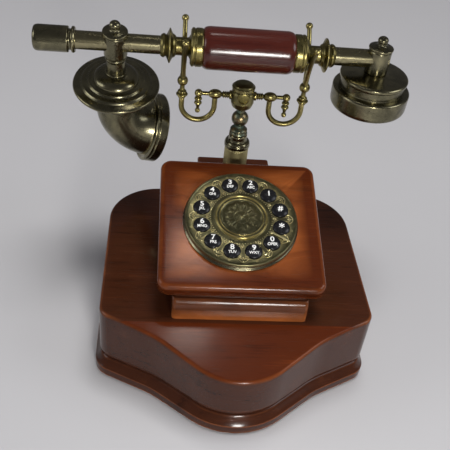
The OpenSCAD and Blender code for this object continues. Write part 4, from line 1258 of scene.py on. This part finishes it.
@dataclass
class Handset:
    """Grip, collars, tubes and tees, with the transmitter's horn and the receiver's bell."""

    cradle: Cradle
    roll: float = 13
    grip_half: float = 32
    grip_r: float = 15
    ferrule_len: float = 7
    ferrule_r: float = 13.4
    neck_r: float = 6.3
    tube_r: float = 6.4
    tee_r: float = 8.3
    stem_r: float = 6.9
    left_run: float = 31
    right_run: float = 32.5
    left_tail: float = 27.5
    end_len: float = 28
    end_r: float = 9
    disc_r: float = 31.5
    disc_t: float = 3.4
    disc_drop: float = 36
    horn_r: tuple[float, float] = (11.5, 22.5)
    horn_bend_r: float = 32
    horn_drop: float = 13
    horn_bend: float = 72
    horn_turn: float = 10
    horn_wall: float = 1.6
    mouth_r: float = 27
    receiver_roll: float = 2
    receiver_r: float = 25
    receiver_drop: float = 10.5
    receiver_h: float = 12
    ear_r: float = 28.4
    ear_h: float = 15.6

    def __post_init__(self) -> None:
        """Works out the stations along the handset."""
        self.axis = self.cradle.upright(self.cradle.handset_z) @ turned_by(self.roll, "X")
        self.ferrule_in = self.grip_half + 1
        self.ferrule_out = self.ferrule_in + self.ferrule_len
        self.neck_in = self.ferrule_out + 2.2
        self.neck_out = self.neck_in + 9.3
        self.bead_out = self.neck_out + 10
        self.left_x = -(self.bead_out + self.left_run)
        self.right_x = self.bead_out + self.right_run
        self.receiver_axis = (self.cradle.upright(self.cradle.handset_z, self.right_x)
            @ turned_by(self.receiver_roll, "X"))

    def along(self, side: Side = Side.RIGHT) -> Matrix:
        """Frame whose Z runs along the handset towards one side."""
        return self.axis @ turned_by(90 * side.value, "Y")

    def under(self, x: float) -> Matrix:
        """Frame at a station, upright to the handset."""
        return self.axis @ moved_by(x, 0, 0)

    def pair(self, profile: Sequence[Point], ease: float) -> Shape:
        """A turned piece at both sides of the grip."""
        return joined(Shape.turned(profile, ease).moved(self.along(side)) for side in Side)

    def grip(self) -> None:
        """Builds the wooden grip."""
        r, h, seat = self.grip_r, self.grip_half, self.ferrule_r - 1
        end = [(r - 2.4 + 2.4 * math.sin(a), h - 5 * (1 - math.cos(a))) for a in fan(0, 90, 12)]
        line = [(0, -h), (seat, -h)] + [(a, -b) for a, b in end[1:]]
        line += [(r, -h + 5 + (2 * h - 10) * i / 12) for i in range(1, 12)]
        line += list(reversed(end[1:])) + [(seat, h), (0, h)]
        settle(Shape.turned(line, sides=128).moved(self.along()).piece("wooden_grip"), "handset",
            GRIP_WOOD, "grip")

    def collars(self) -> None:
        """Builds the ferrules and the turned collars outside them."""
        r, a, b = self.ferrule_r, self.ferrule_in, self.ferrule_out
        rings = self.pair([(0, a - 1), (r - 0.5, a - 1), (r, a), (r, a + 3.9), (r - 0.6, a + 4.3),
            (r - 0.6, a + 4.8), (r, a + 5.2), (r, b - 0.6), (r - 0.5, b), (0, b)], 0.3)
        settle(rings.piece("grip_ferrules"), "handset", BRASS, "ferrules")
        n, out, end, c = self.neck_r, self.neck_out, self.bead_out, self.neck_in
        line = [(0, b), (r - 0.9, b), (r - 1.5, b + 0.6), (n + 2.4, c - 1.5), (n + 1.0, c - 0.7), (n, c),
            (n, out - 0.6), (n + 1.2, out - 0.2), (n + 1.6, out + 0.7), (8.4, out + 1.5),
            (10.6, out + 2.6), (12, out + 3.2), (12, out + 4.0), (10.6, out + 4.5), (8.4, out + 5.6),
            (7.2, out + 6.2), (8.0, out + 6.9), (8.3, out + 7.6), (8.0, end - 1.3), (7.0, end), (0, end)]
        settle(self.pair(line, 0.55).piece("turned_collars"), "handset", BRASS, "collars")

    def tubes(self) -> None:
        """Builds the two tubes, the tees on them and their knobbed caps."""
        left_end = self.left_x - self.left_tail
        spans = ((Side.LEFT, self.bead_out - 0.5, -left_end),
            (Side.RIGHT, self.bead_out - 0.5, self.right_x + 6.5))
        both = joined(cylinder(self.tube_r, start, end, 96).moved(self.along(side)) for side, start,
            end in spans)
        settle(both.piece("handset_pipe"), "handset", BRONZE, "handset_tubes")
        s, t, foot, d = self.stem_r, self.tee_r, 9 - self.disc_drop, self.receiver_drop
        barrel = [(t, 6.6), (t - 0.4, 7.2), (t, 7.8), (0, 8)]
        left = [(0, foot), (s + 0.2, foot), (s + 0.1, -20), (s - 0.3, -14.4), (s + 0.5, -13.4),
            (s + 0.6, -12.4), (s + 0.1, -11.8), (t - 0.4, -10.6), (t, -9.8)]
        right = [(0, -d), (t - 0.8, -d), (t, 1.2 - d)]
        knob = Shape.turned([(0, 8), (t + 0.5, 8), (t + 0.6, 8.5), (t + 0.5, 9.2), (t - 1.2, 9.9),
            (4.6, 10.4), (3.5, 11.2), (3.3, 12.8), (3.7, 13.5), (3.8, 14.5), (3.6, 15.4), (2.9, 16.3),
            (1.8, 17.0), (0, 17.35)], 0.4, 64)
        frames = (self.under(self.left_x), self.receiver_axis)
        tees = joined(Shape.turned(line + barrel, 0.6).moved(lie) for line,
            lie in zip((left, right), frames))
        caps = joined(knob.moved(lie) for lie in frames)
        settle(tees.piece("turned_tees"), "handset", BRONZE, "tees")
        settle(caps.piece("knobbed_caps"), "handset", BRONZE, "tee_caps")

    def end_cap(self) -> None:
        """Builds the cap on the left tube, open at its end for the socket."""
        x, r = -(self.left_x - self.left_tail), self.end_r
        e = x + self.end_len
        line = [(0, e), (r - 2.4, e), (r - 1.1, e - 0.5), (r - 0.3, e - 1.6), (r, e - 3.2), (r, x + 4.6),
            (r - 0.5, x + 4.1), (7.2, x + 3.8), (7.2, x + 2.4), (r - 0.4, x + 2.0), (r, x + 1.5),
            (r, x + 0.6), (r - 0.7, x - 0.4), (self.tube_r - 0.2, x - 0.5), (self.tube_r - 0.2, x), (0, x)]
        piece = Shape.turned(line, 0.45).moved(self.along(Side.LEFT)).piece("left_end_cap")
        socket = block((14.4, 10, 9), (-e + 7.0, 0, 0), 0.05)
        carve(piece, socket.moved(self.axis))
        settle(piece, "handset", BRONZE, "end_cap")

    def disc(self) -> None:
        """Builds the stepped disc with its bell above the horn."""
        r, t, s = self.disc_r, self.disc_t, self.stem_r
        bell = [(s + 9.6 * math.cos(a) ** 1.2, 4.2 + 5.6 * math.sin(a)) for a in fan(0, 90, 16)[:-1]]
        line = eased([(0, -t), (r - 2, -t), (r - 0.4, -t + 0.7), (r, -t + 1.4), (r, -1.5), (r - 0.5, -0.5),
            (r - 1.5, -0.1), (28, 0.35), (25.9, 0.8), (25.3, 1.7), (24.6, 2.3), (21.4, 2.6), (20.7, 3.2),
            (20.2, 4.0), (17.4, 4.2)], 0.4)
        ring = eased([(s + 0.1, 9.9), (s + 0.8, 10.2), (s + 0.9, 10.8), (s + 0.3, 11.3), (0, 11.3)], 0.25)
        lie = self.under(self.left_x) @ moved_by(0, 0, -self.disc_drop)
        settle(Shape.turned(line + bell + ring, sides=128).moved(lie).piece("stepped_disc"), "handset",
            BRONZE, "transmitter_disc")

    def horn_frame(self, run: float) -> Matrix:
        """Frame across the horn at a distance along its middle."""
        lie = (self.under(self.left_x) @ moved_by(0, 0, -self.disc_drop - self.disc_t)
            @ turned_by(self.horn_turn, "Z"))
        if run < self.horn_drop:
            return lie @ moved_by(0, 0, -run) @ turned_by(180, "Y")
        a = (run - self.horn_drop) / self.horn_bend_r
        spot = (self.horn_bend_r * (1 - math.cos(a)), 0, -self.horn_drop - self.horn_bend_r * math.sin(a))
        return lie @ Matrix.Translation(spot) @ Matrix.Rotation(math.pi - a, 4, "Y")

    def horn(self) -> None:
        """Builds the bent horn and the ring round its mouth."""
        total = self.horn_drop + self.horn_bend_r * math.radians(self.horn_bend)
        start, end = self.horn_r
        rings = 48

        def loop(share: float, inset: float) -> list[Vector]:
            """One ring of the horn."""
            r = start + (end - start) * share ** 0.85 - inset
            lie = self.horn_frame(share * total)
            return [lie @ Vector((r * math.cos(a), r * math.sin(a), 0)) for a in circle(96)]

        shares = [i / rings for i in range(rings + 1)]
        loops = [loop(s, 0) for s in shares] + [loop(s, self.horn_wall) for s in reversed(shares)]
        settle(Shape.skin(loops, closed=True).piece("bent_horn"), "handset", BRONZE, "transmitter_horn")
        seat = [(start - 0.2, 0.1), (start + 0.9, 0.1), (start + 1.0, 0.9), (start + 0.2, 1.5)]
        settle(Shape.turned(seat, 0.3).moved(self.horn_frame(0)).piece("horn_seat_ring"), "handset", BRONZE)
        m, g = self.mouth_r, end - 3
        ring = [(g, 0.05), (g + 4.2, 0.0), (g + 5.2, -0.5), (m - 0.9, -0.2), (m, 0.5), (m, 1.4),
            (m - 0.9, 2.0), (m - 0.9, 2.6), (m - 0.1, 3.2), (m, 8.9), (m - 0.9, 10.1), (m - 2.2, 10.35),
            (g + 2.4, 8.0), (g, 3.6)]
        lie = self.horn_frame(total)
        settle(Shape.turned(ring, 0.5, 128).moved(lie).piece("mouth_bezel"), "handset", BRONZE,
            "mouth_ring")

    def receiver(self) -> None:
        """Builds the receiver's bell-topped drum and its dished ear cap."""
        r, t, foot = self.receiver_r, self.tee_r, -self.receiver_h
        line = [(0, 0), (t + 0.5, 0), (t + 1.6, -0.5), (r - 5.6, -1.1), (r - 2.2, -1.4), (r - 0.8, -1.8),
            (r - 0.1, -2.5), (r, -3.2), (r - 0.1, -4.3), (r - 0.6, -4.9), (r - 1.2, -5.3),
            (r - 1.4, foot + 1), (r - 1.1, foot), (0, foot)]
        lie = self.receiver_axis @ moved_by(0, 0, -self.receiver_drop)
        settle(Shape.turned(line, 0.5, 128).moved(lie).piece("receiver_bell"), "handset", BRONZE,
            "receiver_drum")
        e, h = self.ear_r, self.ear_h
        cap = [(0, 0), (e - 1.8, 0), (e - 0.7, -0.4), (e - 0.1, -1.1), (e, -2.0), (e - 0.2, -h + 3.4),
            (e - 0.7, -h + 1.8), (e - 1.6, -h + 0.8), (e - 3.4, -h + 0.2), (e - 8, -h + 0.05),
            (12, 2.5 - h), (0, 3.3 - h)]
        lie = lie @ moved_by(0, 0, foot)
        piece = Shape.turned(cap, 0.7, 128).moved(lie).piece("ear_cup")
        holes = [Matrix.Identity(4)] + [Matrix.Rotation(a, 4, "Z") @ moved_by(5, 0, 0) for a in circle(6)]
        for hole in holes:
            carve(piece, cylinder(1.1, -h - 1, -h + 7, 24).moved(lie @ hole))
        settle(piece, "handset", BRONZE, "ear_cap")

    def build(self) -> None:
        """Builds the handset."""
        self.grip()
        self.collars()
        self.tubes()
        self.end_cap()
        self.disc()
        self.horn()
        self.receiver()


# Studio


@dataclass
class Studio:
    """Pale floor, soft lights and the camera."""

    spot: Vector = field(default_factory=lambda: Vector((-59.87, -382.33, 418.16)))
    yaw: float = 7.25
    pitch: float = 39.24
    roll: float = 6.86
    lens: float = 56.42
    sensor: float = 36
    floor_half: float = 6.0
    sky: Colour = (0.80, 0.79, 0.84)
    sky_strength: float = 0.13
    aim: Vector = field(default_factory=lambda: Vector((0, 0, 0.1)))

    def camera(self) -> None:
        """Sets up the camera in front, above and a little to the left."""
        y, p, r = (math.radians(a) for a in (self.yaw, self.pitch, self.roll))
        ahead = Vector((math.sin(y) * math.cos(p), math.cos(y) * math.cos(p), -math.sin(p)))
        right = Vector((math.cos(y), -math.sin(y), 0))
        up = right.cross(ahead)
        across = right * math.cos(r) + up * math.sin(r)
        above = up * math.cos(r) - right * math.sin(r)
        data = bpy.data.cameras.new("camera")
        data.lens, data.sensor_width = self.lens, self.sensor
        data.clip_start = 0.01
        eye = bpy.data.objects.new("camera", data)
        turn = Matrix((across, above, -ahead)).transposed().to_4x4()
        eye.matrix_world = Matrix.Translation(self.spot * MM) @ turn
        bpy.context.scene.collection.objects.link(eye)
        bpy.context.scene.camera = eye

    def floor(self) -> None:
        """Lays the pale floor."""
        e = self.floor_half
        mesh = bpy.data.meshes.new("floor")
        mesh.from_pydata([(-e, -e, 0), (e, -e, 0), (e, e, 0), (-e, e, 0)], [], [(0, 1, 2, 3)])
        plane = bpy.data.objects.new("floor", mesh)
        bpy.context.scene.collection.objects.link(plane)
        g = Graph("floor")
        cloud = g.noise(g.place((3, 3, 3)), detail=3)
        colour = g.mix(cloud, (0.48, 0.475, 0.495), (0.52, 0.515, 0.53))
        mesh.materials.append(g.dress(Base_Color=colour, Roughness=0.8))

    def lamp(self, name: str, place: Sequence[float], size: float, power: float,
            tint: Colour = (1.0, 1.0, 1.0), mirrored: bool = False) -> None:
        """Hangs one soft square light that faces the telephone.

        Args:
            name: The lamp's name.
            place: Where it hangs, in metres.
            size: Length of its side in metres.
            power: Its power in watts.
            tint: Its colour.
            mirrored: Whether polished parts show it.
        """
        data = bpy.data.lights.new(name, "AREA")
        data.size, data.energy, data.color = size, power, tint
        lamp = bpy.data.objects.new(name, data)
        lamp.location, lamp.visible_glossy = place, mirrored
        away = self.aim - Vector(place)
        lamp.rotation_euler = away.to_track_quat("-Z", "Y").to_euler()
        bpy.context.scene.collection.objects.link(lamp)

    def build(self) -> None:
        """Sets up the studio."""
        self.camera()
        self.floor()
        world = bpy.data.worlds.new("studio")
        world.use_nodes = True
        glow = world.node_tree.nodes["Background"]
        glow.inputs["Color"].default_value = (*self.sky, 1)
        glow.inputs["Strength"].default_value = self.sky_strength
        bpy.context.scene.world = world
        self.lamp("front", (0.12, -0.80, 0.34), 0.14, 4.0, (1.0, 0.98, 0.94), True)
        self.lamp("back", (0.02, 0.29, 1.10), 0.09, 0.24, (1.0, 0.97, 0.92), True)
        self.lamp("ceiling", (0.2, 0.2, 2.2), 0.9, 30.0, (1.0, 0.99, 0.97))
        self.lamp("side", (1.5, -0.3, 1.2), 0.9, 8.0, (0.94, 0.96, 1.0), True)
        self.lamp("left", (-1.6, -0.2, 0.9), 0.9, 6.5, (0.96, 0.97, 1.0), True)
        bpy.context.scene.view_settings.view_transform = "Standard"


def dress_carried_parts() -> None:
    """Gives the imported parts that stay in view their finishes."""
    for finish, nodes in CARRIED.items():
        for node in nodes:
            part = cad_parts[node]
            for slot in part.material_slots:
                slot.material = finish.material
            LOG.info("%s: carried over in %s", node, finish.name)


def main() -> None:
    """Builds the telephone and its studio."""
    logging.basicConfig(level=logging.INFO, format="%(name)s: %(message)s")
    Studio().build()
    WoodenBase().build()
    case = SlopingCase()
    case.build()
    Dial(case).build()
    cradle = Cradle()
    cradle.build()
    Handset(cradle).build()
    dress_carried_parts()


if __name__ == "__main__":
    main()
